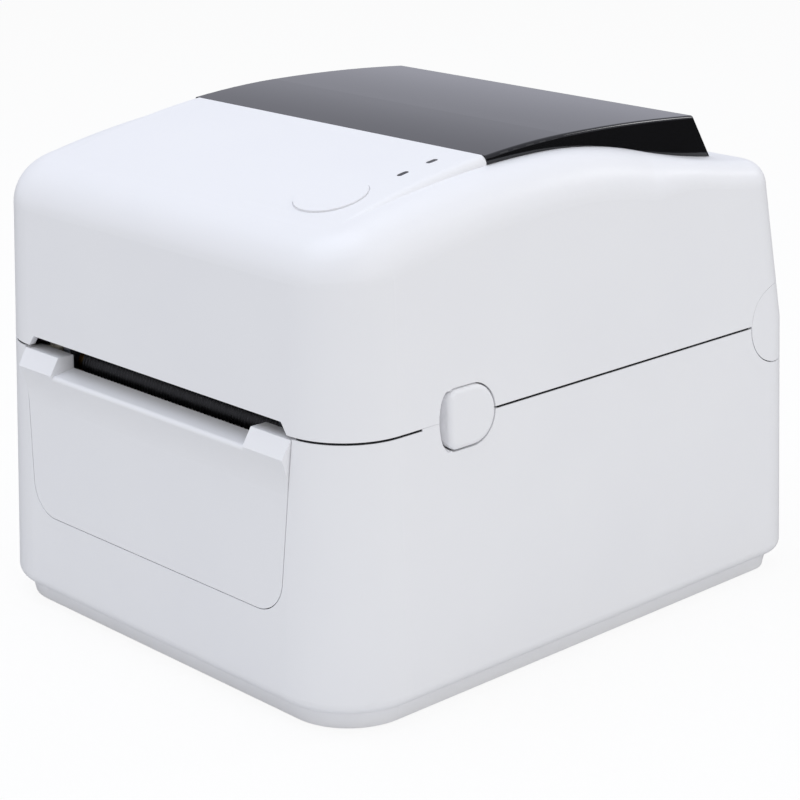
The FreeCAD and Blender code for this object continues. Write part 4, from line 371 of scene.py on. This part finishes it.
def grow(name, tree, values, start=None):
    """Runs a tree once and keeps its result as a plain mesh object at the origin."""
    holder = bpy.data.objects.new(f"{name}_source", start or bpy.data.meshes.new(f"{name}_source"))
    bpy.context.scene.collection.objects.link(holder)
    modifier = holder.modifiers.new("grow", "NODES")
    modifier.node_group = tree
    for item in tree.interface.items_tree:
        if item.in_out == "INPUT" and item.name in values:
            modifier[item.identifier] = values[item.name]
    evaluated = holder.evaluated_get(bpy.context.evaluated_depsgraph_get())
    mesh = bpy.data.meshes.new_from_object(evaluated)
    mesh.name = name
    bpy.data.objects.remove(holder)
    piece = bpy.data.objects.new(name, mesh)
    bpy.context.scene.collection.objects.link(piece)
    print(name, "has", len(mesh.polygons), "faces")
    return piece


# %% Ribbed roller
low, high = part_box("platen_rubber")
roller_middle = (low + high) / 2
roller_radius = (high.z - low.z) / 2
RIB_PITCH = 1.6 * MM
RIB_DEPTH = 0.45 * MM
STEPS_PER_RIB = 6
ROLLER_SIDES = 40

inputs = {"Radius": "Float", "Pitch": "Float", "Depth": "Float", "Points": "Int", "Finish": "Material"}
ribs, given, result = new_tree("roller_ribs", inputs)
start = (low.x, roller_middle.y, roller_middle.z)
end = (high.x, roller_middle.y, roller_middle.z)
line = add(ribs, "GeometryNodeCurvePrimitiveLine", {"Start": start, "End": end})
points = add(
    ribs,
    "GeometryNodeResampleCurve",
    {"Curve": line.outputs[0], "Count": given["Points"]},
)
along = add(ribs, "GeometryNodeSplineParameter").outputs["Length"]
count = add(ribs, "ShaderNodeMath", {0: along, 1: given["Pitch"]}, operation="DIVIDE").outputs[0]
turns = add(ribs, "ShaderNodeMath", {0: count, 1: 2 * math.pi}, operation="MULTIPLY").outputs[0]
swing = add(ribs, "ShaderNodeMath", {0: turns}, operation="SINE").outputs[0]
# The wave runs from -1 in a valley to 0 on a crest, so a crest is as high as the solid roller.
wave = add(ribs, "ShaderNodeMath", {0: swing, 1: 0.5, 2: -0.5}, operation="MULTIPLY_ADD").outputs[0]
shape = {0: wave, 1: given["Depth"], 2: given["Radius"]}
reach = add(ribs, "ShaderNodeMath", shape, operation="MULTIPLY_ADD").outputs[0]
circle = add(ribs, "GeometryNodeCurvePrimitiveCircle", {"Resolution": ROLLER_SIDES, "Radius": 1.0})
swept = add(
    ribs,
    "GeometryNodeCurveToMesh",
    {
        "Curve": points.outputs[0],
        "Profile Curve": circle.outputs[0],
        "Scale": reach,
        "Fill Caps": True,
    },
)
smooth = add(ribs, "GeometryNodeSetShadeSmooth", {"Geometry": swept.outputs[0]})
whole = add(ribs, "GeometryNodeRealizeInstances", {"Geometry": smooth.outputs[0]})
painted = add(
    ribs,
    "GeometryNodeSetMaterial",
    {"Geometry": whole.outputs[0], "Material": given["Finish"]},
)
ribs.links.new(painted.outputs[0], result.inputs[0])
roller = grow(
    "ribbed_roller",
    ribs,
    {
        "Radius": roller_radius,
        "Pitch": RIB_PITCH,
        "Depth": RIB_DEPTH,
        "Points": int((high.x - low.x) / RIB_PITCH * STEPS_PER_RIB),
        "Finish": black_rubber,
    },
)
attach(roller, "platen")
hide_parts("platen_rubber")

# %% [markdown]
# ## Painted shade in the seam
# Between the two shells runs a dark line: the gap is under a millimetre, and the shade in it is painted
# by a strip of black on the lower case's rim. The strip follows the rim, so it is a path again: round the
# front corner and along the side, with a stop ahead of the latch, and the same on the other side. A flat
# oblong is swept along each run.

# %% Runs of the strip of painted seam shade
RIM_HALF = (99.6, 117.8)
RIM_CORNER = 24.8
RIM_Z = 103.25
SHADE_STRIP = (1.7, 0.5)
SLOT_END = 78.0
LATCH_STOPS = (-82.4, -46.0)
HINGE_STOP = 91.0
CORNER_STEPS = 12


def shade_runs(side):
    """The two runs on one side: round the front corner to the latch, and from the latch to the hinge."""
    front = [(side * SLOT_END, -RIM_HALF[1])]
    for index in range(1, CORNER_STEPS + 1):
        angle = math.pi / 2 * index / CORNER_STEPS
        x = RIM_HALF[0] - RIM_CORNER + RIM_CORNER * math.sin(angle)
        y = RIM_CORNER - RIM_HALF[1] - RIM_CORNER * math.cos(angle)
        if x > SLOT_END:
            front.append((side * x, y))
    front.append((side * RIM_HALF[0], LATCH_STOPS[0]))
    rear = [(side * RIM_HALF[0], LATCH_STOPS[1]), (side * RIM_HALF[0], HINGE_STOP)]
    return [front, rear]


# A path along the rim for the strip that paints the seam's shade.
shade_path = bpy.data.meshes.new("shade_path")
places = []
links = []
for run in shade_runs(1) + shade_runs(-1):
    links += [(len(places) + index, len(places) + index + 1) for index in range(len(run) - 1)]
    places += [Vector((x, y, RIM_Z + SHADE_STRIP[1] / 2)) * MM for x, y in run]
shade_path.from_pydata(places, links, [])
print("points along the seal:", len(places))

# %% Sweep the strip of painted seam shade
inputs = {"Width": "Float", "Height": "Float", "Finish": "Material"}
shading_strip, given, result = new_tree("shade_strip_along_rim", inputs)
run = add(shading_strip, "GeometryNodeMeshToCurve", {"Mesh": given["Geometry"]}).outputs[0]
upright = add(shading_strip, "GeometryNodeSetCurveNormal", {"Curve": run}, mode="Z_UP").outputs[0]
oblong = add(
    shading_strip,
    "GeometryNodeCurvePrimitiveQuadrilateral",
    {"Width": given["Width"], "Height": given["Height"]},
).outputs[0]
swept = add(
    shading_strip,
    "GeometryNodeCurveToMesh",
    {"Curve": upright, "Profile Curve": oblong, "Fill Caps": True},
).outputs[0]
whole = add(shading_strip, "GeometryNodeRealizeInstances", {"Geometry": swept})
painted = add(
    shading_strip,
    "GeometryNodeSetMaterial",
    {"Geometry": whole.outputs[0], "Material": given["Finish"]},
)
shading_strip.links.new(painted.outputs[0], result.inputs[0])
# Painted shade: a dull black strip with next to no shine, so the seam shows as a black line.
seam_shade_finish = rubber("painted_seam_shade", "#0B0B0C", "#111112")
sizes = {"Width": SHADE_STRIP[0] * MM, "Height": SHADE_STRIP[1] * MM, "Finish": seam_shade_finish}
seam_shade = grow("seam_seal", shading_strip, sizes, shade_path)
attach(seam_shade, "base")

# %% [markdown]
# ## Tongues and a collar
# Two small white mouldings close gaps. The dark seam stops short of each latch, where a flat tongue stands
# on the lower case's rim and ends on the curve of the finger scoop. A thin collar goes round the feed
# button, so that the gap at its rim stays a faint line. Each is one outline drawn in mesh code: the tongue
# is raised, and the collar is turned through a full circle.


# %% From mesh code to an object
def form_object(name, form):
    """An object, not yet in the scene, with the mesh of a finished form."""
    mesh = bpy.data.meshes.new(name)
    form.to_mesh(mesh)
    form.free()
    return bpy.data.objects.new(name, mesh)


def make_piece(name, form, finish):
    """A piece in the scene, with one finish."""
    piece = form_object(name, form)
    piece.data.materials.append(finish)
    bpy.context.scene.collection.objects.link(piece)
    print(name, "has", len(piece.data.polygons), "faces")
    return piece


# %% Tongues ahead of the latches
SIDE_FACE = 100.8
TONGUE_RISE = 0.8
TONGUE_DEPTH = (2.3, 5.2)
TONGUE_END = -71.0
LATCH_FRONT = -70.0
SCOOP_DEPTH = 5.0
SCOOP_LENGTH = 4.5
SCOOP_STEPS = 8


def tongue_outline(side):
    """Along the side's face, in along the scoop's ellipse and back behind the face."""
    start = LATCH_FRONT - SCOOP_LENGTH
    outline = [(side * SIDE_FACE, LATCH_STOPS[0])]
    for index in range(SCOOP_STEPS + 1):
        y = start + (TONGUE_END - start) * (index / SCOOP_STEPS) ** 2
        share = (y - LATCH_FRONT) / SCOOP_LENGTH
        depth = SCOOP_DEPTH * math.sqrt(max(0.0, 1 - share**2))
        outline.append((side * (SIDE_FACE - depth), y))
    outline.append((side * (SIDE_FACE - TONGUE_DEPTH[1]), TONGUE_END))
    outline.append((side * (SIDE_FACE - TONGUE_DEPTH[0]), start))
    outline.append((side * (SIDE_FACE - TONGUE_DEPTH[0]), LATCH_STOPS[0]))
    return outline


form = bmesh.new()
for side in (1, -1):
    foot = [form.verts.new(Vector((x, y, RIM_Z)) * MM) for x, y in tongue_outline(side)]
    grown = bmesh.ops.extrude_face_region(form, geom=[form.faces.new(foot)])
    raised = [item for item in grown["geom"] if isinstance(item, bmesh.types.BMVert)]
    bmesh.ops.translate(form, verts=raised, vec=Vector((0, 0, TONGUE_RISE)) * MM)
bmesh.ops.recalc_face_normals(form, faces=form.faces)
tongues = make_piece("seam_tongues", form, white_abs)
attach(tongues, "base")

# %% Where the feed button stands
LEAN = (0.244, 0.9698)
BUTTON_PROUD = 0.5 * MM
button_up = Vector((0, -LEAN[0], LEAN[1])).normalized()
across = Vector((1, 0, 0))
slope = button_up.cross(across)
button = nodes["feed_button"]
button_spots = [button.matrix_world @ vertex.co for vertex in button.data.vertices]


def button_ends(direction):
    """How far the button goes each way along a direction."""
    shares = [spot.dot(direction) for spot in button_spots]
    return min(shares), max(shares)


roof_level = button_ends(button_up)[1] - BUTTON_PROUD
button_middle = across * (sum(button_ends(across)) / 2) + slope * (sum(button_ends(slope)) / 2)
print("roof under the button, along its axis:", round(roof_level / MM, 2), "mm")

# %% Collar round the feed button
COLLAR_INNER = 12.9 * MM
COLLAR_OUTER = 13.2 * MM
COLLAR_TOP = 0.25 * MM
COLLAR_LOW = 1.8 * MM
COLLAR_SIDES = 96
section = (
    (COLLAR_INNER, COLLAR_TOP),
    (COLLAR_OUTER, COLLAR_TOP),
    (COLLAR_OUTER, COLLAR_LOW),
    (COLLAR_INNER, COLLAR_LOW),
)
form = bmesh.new()
rings = []
for radius, depth in section:
    ring = []
    for index in range(COLLAR_SIDES):
        angle = 2 * math.pi * index / COLLAR_SIDES
        out = across * math.cos(angle) + slope * math.sin(angle)
        ring.append(form.verts.new(button_middle + out * radius + button_up * (roof_level - depth)))
    rings.append(ring)
for first, second in zip(rings, rings[1:] + rings[:1]):
    for index in range(COLLAR_SIDES):
        following = (index + 1) % COLLAR_SIDES
        form.faces.new((first[index], second[index], second[following], first[following]))
bmesh.ops.recalc_face_normals(form, faces=form.faces)
collar = make_piece("button_collar", form, white_abs)
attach(collar, "feed_button")

# %% [markdown]
# ## Leaf springs
# Two bowed leaf springs press the print head down on the roller; when the head lifts, they flatten against
# the cover's frame. A copy of their mesh, with its loose triangles welded, takes the solid's place and
# goes with the cover.

# %% Leaf springs
low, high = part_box("head_springs")
WELD = 0.001 * MM
SHARP_EDGE = math.radians(30)
form = bmesh.new()
form.from_mesh(nodes["head_springs"].data)
form.transform(nodes["head_springs"].matrix_world)
bmesh.ops.remove_doubles(form, verts=form.verts, dist=WELD)
leaf_springs = make_piece("leaf_springs", form, spring_steel)
leaf_springs.data.set_sharp_from_angle(angle=SHARP_EDGE)
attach(leaf_springs, "cover")
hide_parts("head_springs")
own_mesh(leaf_springs)

# %% [markdown]
# ## Screws
# Small pan-head screws hold the base, the chassis, the motor and the boards. One head with a cross recess
# is made in mesh code, and a tree puts a copy on every point of a list, turned to the way that point
# faces. Each body gets its own set, so that the screws in the cover move with the cover.


# %% One screw head
HEAD_SIDES = 16
HEAD_RINGS = ((1.0, 0.0), (1.0, 0.45), (0.9, 0.8), (0.66, 1.0))
CROSS_ARM = 0.5
CROSS_HALF = 0.11
CROSS_BED = 0.35
CROSS_TAPER = 0.8


def pan_head(name, radius, height):
    """A domed head with a cross pressed into its top, standing on the plane z = 0."""
    form = bmesh.new()
    rows = []
    for share, rise in HEAD_RINGS:
        row = []
        for index in range(HEAD_SIDES):
            angle = 2 * math.pi * index / HEAD_SIDES
            spot = (radius * share * math.cos(angle), radius * share * math.sin(angle), height * rise)
            row.append(form.verts.new(spot))
        rows.append(row)
    for lower, upper in zip(rows, rows[1:]):
        for index in range(HEAD_SIDES):
            following = (index + 1) % HEAD_SIDES
            form.faces.new((lower[index], lower[following], upper[following], upper[index]))
    arm = radius * CROSS_ARM
    half = radius * CROSS_HALF
    outline = [(arm, -half), (arm, half), (half, half), (half, arm), (-half, arm), (-half, half)]
    outline += [(-x, -y) for x, y in outline]
    brim = [form.verts.new((x, y, height)) for x, y in outline]
    bed = [form.verts.new((x * CROSS_TAPER, y * CROSS_TAPER, height * CROSS_BED)) for x, y in outline]
    for index in range(len(outline)):
        following = (index + 1) % len(outline)
        form.faces.new((brim[following], brim[index], bed[index], bed[following]))
    form.faces.new(bed)
    form.faces.new(rows[0][::-1])
    crown = rows[-1]
    loops = [form.edges.get((crown[i], crown[(i + 1) % HEAD_SIDES])) for i in range(HEAD_SIDES)]
    loops += [form.edges.get((brim[i], brim[(i + 1) % len(brim)])) for i in range(len(brim))]
    bmesh.ops.triangle_fill(form, edges=loops, use_beauty=True)
    bmesh.ops.recalc_face_normals(form, faces=form.faces)
    return form_object(name, form)


# %% Copies on points
inputs = {"Item": "Object", "Size": "Float", "Finish": "Material"}
copier, given, result = new_tree("copies_on_points", inputs)
item = add(copier, "GeometryNodeObjectInfo", {"Object": given["Item"]}).outputs["Geometry"]
facing = add(copier, "GeometryNodeInputNamedAttribute", {"Name": "facing"}, data_type="FLOAT_VECTOR")
aligned = add(
    copier,
    "FunctionNodeAlignRotationToVector",
    {"Vector": facing.outputs["Attribute"]},
    axis="Z",
)
copies = add(
    copier,
    "GeometryNodeInstanceOnPoints",
    {
        "Points": given["Geometry"],
        "Instance": item,
        "Rotation": aligned.outputs[0],
        "Scale": given["Size"],
    },
)
whole = add(copier, "GeometryNodeRealizeInstances", {"Geometry": copies.outputs[0]})
painted = add(
    copier,
    "GeometryNodeSetMaterial",
    {"Geometry": whole.outputs[0], "Material": given["Finish"]},
)
copier.links.new(painted.outputs[0], result.inputs[0])
print("the tree for copies has", len(copier.nodes), "nodes")


def put_copies(name, body, source, finish, spots, size=1.0):
    """Copies for one body: each spot is a place in millimetres and the way the copy faces."""
    mesh = bpy.data.meshes.new(f"{name}_points")
    mesh.from_pydata([Vector(place) * MM for place, way in spots], [], [])
    facing = mesh.attributes.new("facing", "FLOAT_VECTOR", "POINT")
    for index, (place, way) in enumerate(spots):
        facing.data[index].vector = way
    piece = grow(name, copier, {"Item": source, "Size": size, "Finish": finish}, mesh)
    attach(piece, body)


# %% Screws
# Black oxide is oiled and dark, with a low satin shine; bright zinc is pale and a little warm.
black_oxide = metal("black_oxide_screw", "#3A3B3E", "#2C2D30", 0.38, 0.8, "z")
zinc_screw = metal("zinc_plated_screw", "#B4B5B2", "#9C9D9A", 0.3, 0.8, "z")
HEAD_RADIUS = 2.6
HEAD_HEIGHT = 1.5
screw_head = pan_head("screw_head", HEAD_RADIUS * MM, HEAD_HEIGHT * MM)


def put_screws(name, body, finish, spots, size=1.0):
    put_copies(name, body, screw_head, finish, spots, size)


DOWN = (0, 0, -1)
UP = (0, 0, 1)
FRONT = (0, -1, 0)
LEFT = (-1, 0, 0)
SUNK_HEAD_SHOWS = 0.25
BASE_COLUMNS = (-78, 78)
BASE_ROWS = (-62, 0, 62)
sunk_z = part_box("base_plate")[0].z / MM + HEAD_HEIGHT - SUNK_HEAD_SHOWS
base_spots = [((x, y, sunk_z), DOWN) for x in BASE_COLUMNS for y in BASE_ROWS]
put_screws("base_screws", "base", black_oxide, base_spots)

CHASSIS_FLOOR = 12.0
CHASSIS_COLUMNS = (-52, 52)
CHASSIS_ROWS = (-103, -50)
BOARD_COLUMNS = (-35, 57)
BOARD_ROWS = (19, 75)
CHEEK_FACE = -64.0
MOTOR_CENTRE = (-74.85, 66.69)
MOTOR_PITCH = 15.5
board_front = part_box("main_board")[0].y / MM
frame_spots = [((x, y, CHASSIS_FLOOR), UP) for x in CHASSIS_COLUMNS for y in CHASSIS_ROWS]
for y in (-MOTOR_PITCH, MOTOR_PITCH):
    for z in (-MOTOR_PITCH, MOTOR_PITCH):
        frame_spots.append(((CHEEK_FACE, MOTOR_CENTRE[0] + y, MOTOR_CENTRE[1] + z), LEFT))
frame_spots += [((x, board_front, z), FRONT) for x in BOARD_COLUMNS for z in BOARD_ROWS]
put_screws("chassis_screws", "base", zinc_screw, frame_spots)

FRAME_WALL = 2.5
frame_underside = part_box("cover_frame")[1].z / MM - FRAME_WALL
COVER_COLUMNS = (-89, 89)
COVER_ROWS = (-72, -56)
cover_spots = [((x, y, frame_underside), DOWN) for x in COVER_COLUMNS for y in COVER_ROWS]
put_screws("cover_screws", "cover", zinc_screw, cover_spots)

# %% [markdown]
# ## Parts on the boards
# A chip is a black block with a row of bent tin legs down two sides; a capacitor is a small aluminium
# can. Both are built once from boxes and a cylinder, and the same tree that sets the screws puts them on
# the boards. The control board hangs under the sloping roof, so its places are given in a frame that
# leans with it: across, along the slope, and out from the surface of the button.


# %% Chip and capacitor
def boxes(name, blocks):
    """One mesh of boxes, each given by its lowest and its highest corner in millimetres."""
    form = bmesh.new()
    for lowest, highest in blocks:
        size = Vector(highest) - Vector(lowest)
        middle = (Vector(highest) + Vector(lowest)) / 2
        place = Matrix.Translation(middle * MM) @ Matrix.Diagonal((*(size * MM), 1))
        bmesh.ops.create_cube(form, size=1, matrix=place)
    return form_object(name, form)


CAN_SIDES = 24
CAN_STEPS = ((1.0, 0.0, 0.8), (0.9, 0.8, 0.88), (1.0, 0.88, 1.0))


def can(name, radius, height):
    """An upright can with a groove rolled in under its top, like a capacitor's."""
    form = bmesh.new()
    for share, low, high in CAN_STEPS:
        place = Matrix.Translation((0, 0, height * (low + high) / 2 * MM))
        bmesh.ops.create_cone(
            form,
            cap_ends=True,
            segments=CAN_SIDES,
            radius1=radius * share * MM,
            radius2=radius * share * MM,
            depth=height * (high - low) * MM,
            matrix=place,
        )
    return form_object(name, form)


CHIP_HALF = (5.0, 3.5)
CHIP_LOW = 0.3
CHIP_TOP = 1.9
CHIP_LEGS = 8
LEG_PITCH = 1.2
LEG_HALF = 0.2
LEG_THICK = 0.2
LEG_TOP = 1.1
LEG_REACH = (-0.2, 0.5, 1.2)
leg_blocks = []
for index in range(CHIP_LEGS):
    leg_left = (index - (CHIP_LEGS - 1) / 2) * LEG_PITCH - LEG_HALF
    leg_right = leg_left + LEG_HALF * 2
    for side in (-1, 1):
        inner, bend, outer = [side * (CHIP_HALF[1] + reach) for reach in LEG_REACH]
        shoulder = sorted((inner, bend))
        shin = sorted((bend - side * LEG_THICK, bend))
        toe = sorted((bend - side * LEG_THICK, outer))
        lowest = (leg_left, shoulder[0], LEG_TOP - LEG_THICK)
        leg_blocks.append((lowest, (leg_right, shoulder[1], LEG_TOP)))
        leg_blocks.append(((leg_left, shin[0], 0.0), (leg_right, shin[1], LEG_TOP)))
        leg_blocks.append(((leg_left, toe[0], 0.0), (leg_right, toe[1], LEG_THICK)))
chip_body = boxes("chip_body", [((-CHIP_HALF[0], -CHIP_HALF[1], CHIP_LOW), (*CHIP_HALF, CHIP_TOP))])
chip_legs = boxes("chip_legs", leg_blocks)
small_part = boxes("small_part", [((-1.0, -0.6, 0.0), (1.0, 0.6, 0.7))])
capacitor = can("capacitor", radius=3.2, height=8.0)
# Tin on the legs is pale and satin, so a row of them glints as a comb.
tin = metal("tin_plated_leg", "#C2C3C4", "#AEB0B2", 0.34, 0.6, "y")
print("boxes in the legs of a chip:", len(leg_blocks))

# %% Board places
BUTTON_PLACE = (57.5, -83.0, 176.73)
POSTS = ((-14, -17), (14, -17), (-14, 27))
POST_SCREW_SIZE = 0.8
MAIN_CHIPS = ((-12, 58), (22, 60), (20, 38))
MAIN_CHIP_SIZE = 1.3
ROOF_CHIP = (4, 14)
PART_COLUMNS = range(-26, 50, 5)
PART_ROWS = (48, 69)
CAN_COLUMNS = (-24, -14, 44)
CAN_ROW = 30


def on_slope(across, along, out):
    x, y, z = BUTTON_PLACE
    return (x + across, y + along * LEAN[1] - out * LEAN[0], z + along * LEAN[0] + out * LEAN[1])


BELOW_SLOPE = (0, LEAN[0], -LEAN[1])
BOARD_UNDERSIDE = -12.6
post_spots = [(on_slope(x, along, BOARD_UNDERSIDE), BELOW_SLOPE) for x, along in POSTS]
put_screws("control_board_screws", "cover", zinc_screw, post_spots, POST_SCREW_SIZE)
main_chips = [((x, board_front, z), FRONT) for x, z in MAIN_CHIPS]
roof_chips = [(on_slope(*ROOF_CHIP, BOARD_UNDERSIDE), BELOW_SLOPE)]
main_parts = [((x, board_front, z), FRONT) for x in PART_COLUMNS for z in PART_ROWS]
cans = [((x, board_front, CAN_ROW), FRONT) for x in CAN_COLUMNS]
put_copies(
    "main_chip_bodies", "base", chip_body, black_abs, main_chips, MAIN_CHIP_SIZE
)
put_copies("main_chip_legs", "base", chip_legs, tin, main_chips, MAIN_CHIP_SIZE)
put_copies("main_small_parts", "base", small_part, glazed_ceramic, main_parts)
put_copies("main_capacitors", "base", capacitor, extrusion, cans)
put_copies("roof_chip_body", "cover", chip_body, black_abs, roof_chips)
put_copies("roof_chip_legs", "cover", chip_legs, tin, roof_chips)

# %% [markdown]
# ## Light and floor
# A product picture on white is lit from all sides: a bright room of soft light, with one large lamp over
# the roof so that the top is lightest, one at the side so that the side is a little lighter than the front,
# and a small one behind that draws a bright line along the window's edge. The ground is seen as white by
# the camera and still takes the printer's soft shadow; in reflections it stays dark, the way a photographer
# flags the table so that the black skirts of the window don't turn grey.


# %% World
world = bpy.data.worlds.new("soft_room")
bpy.context.scene.world = world
world.use_nodes = True
tree = world.node_tree
tree.nodes.clear()
rays = add(tree, "ShaderNodeLightPath").outputs
straight = {0: rays["Is Camera Ray"], 1: rays["Is Transmission Ray"]}
seen = add(tree, "ShaderNodeMath", straight, operation="MAXIMUM").outputs[0]
ROOM_LIGHT = 0.68
room = add(tree, "ShaderNodeBackground", {"Color": linear("#FFFFFF"), "Strength": ROOM_LIGHT})
white = add(tree, "ShaderNodeBackground", {"Color": linear("#FFFFFF"), "Strength": 1.0})
mirrored = add(tree, "ShaderNodeBackground", {"Color": linear("#CBCCD8"), "Strength": 1.0})
both = add(tree, "ShaderNodeMixShader", {0: seen, 1: room.outputs[0], 2: white.outputs[0]})
surface = {0: rays["Is Glossy Ray"], 1: both.outputs[0], 2: mirrored.outputs[0]}
both = add(tree, "ShaderNodeMixShader", surface)
add(tree, "ShaderNodeOutputWorld", {"Surface": both.outputs[0]})
print("room light:", ROOM_LIGHT)


# %% Lamps
def softbox(name, place, aim, size, power, tint):
    """A square area lamp that points at a place."""
    data = bpy.data.lights.new(name, "AREA")
    data.shape = "SQUARE"
    data.size = size
    data.energy = power
    data.color = linear(tint)[:3]
    lamp = bpy.data.objects.new(name, data)
    lamp.location = place
    lamp.rotation_euler = (Vector(aim) - Vector(place)).to_track_quat("-Z", "Y").to_euler()
    bpy.context.scene.collection.objects.link(lamp)
    print(name, "gives", power, "W")


softbox("roof_lamp", place=(-0.2, -0.3, 1.5), aim=(0, 0, 0.1), size=1.4, power=9.6, tint="#E1EBFF")
softbox("side_lamp", place=(1.6, -0.2, 0.8), aim=(0, 0, 0.1), size=1.2, power=3.3, tint="#FFFFFF")
softbox("rim_lamp", place=(0.7, 1.5, 1.1), aim=(0, 0.05, 0.15), size=0.36, power=3.0, tint="#FFFFFF")

# %% Floor
floor_mesh = bpy.data.meshes.new("floor")
SPAN = 6.0
corners = [(-SPAN, -SPAN, 0), (SPAN, -SPAN, 0), (SPAN, SPAN, 0), (-SPAN, SPAN, 0)]
floor_mesh.from_pydata(corners, [], [(0, 1, 2, 3)])
floor = bpy.data.objects.new("floor", floor_mesh)
bpy.context.scene.collection.objects.link(floor)
material = bpy.data.materials.new("white_ground")
material.use_nodes = True
tree = material.node_tree
tree.nodes.clear()
rays = add(tree, "ShaderNodeLightPath").outputs
straight = {0: rays["Is Camera Ray"], 1: rays["Is Transmission Ray"]}
seen = add(tree, "ShaderNodeMath", straight, operation="MAXIMUM").outputs[0]
SHADOW_KEPT = 0.12
MIRRORED_FLOOR = 0.06
shares = {0: seen, 1: 1 - SHADOW_KEPT}
glow_share = add(tree, "ShaderNodeMath", shares, operation="MULTIPLY").outputs[0]
paper = add(tree, "ShaderNodeBsdfDiffuse", {"Color": linear("#F4F4F4")})
glow = add(tree, "ShaderNodeEmission", {"Color": linear("#FFFFFF"), "Strength": 1.0})
dim = add(tree, "ShaderNodeEmission", {"Color": linear("#FFFFFF"), "Strength": MIRRORED_FLOOR})
ground = add(tree, "ShaderNodeMixShader", {0: glow_share, 1: paper.outputs[0], 2: glow.outputs[0]})
surface = {0: rays["Is Glossy Ray"], 1: ground.outputs[0], 2: dim.outputs[0]}
ground = add(tree, "ShaderNodeMixShader", surface)
add(tree, "ShaderNodeOutputMaterial", {"Surface": ground.outputs[0]})
floor_mesh.materials.append(material)
floor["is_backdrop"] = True
print("stage set")

# %% [markdown]
# ## Sizes
# The size of the dressed printer is set beside the size of the solids, in one dictionary.

# %% Sizes
visual_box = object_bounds()
sizes = {
    "cad": [[float(value) for value in corner] for corner in cad_box],
    "visual": [[float(value) for value in corner] for corner in visual_box],
}
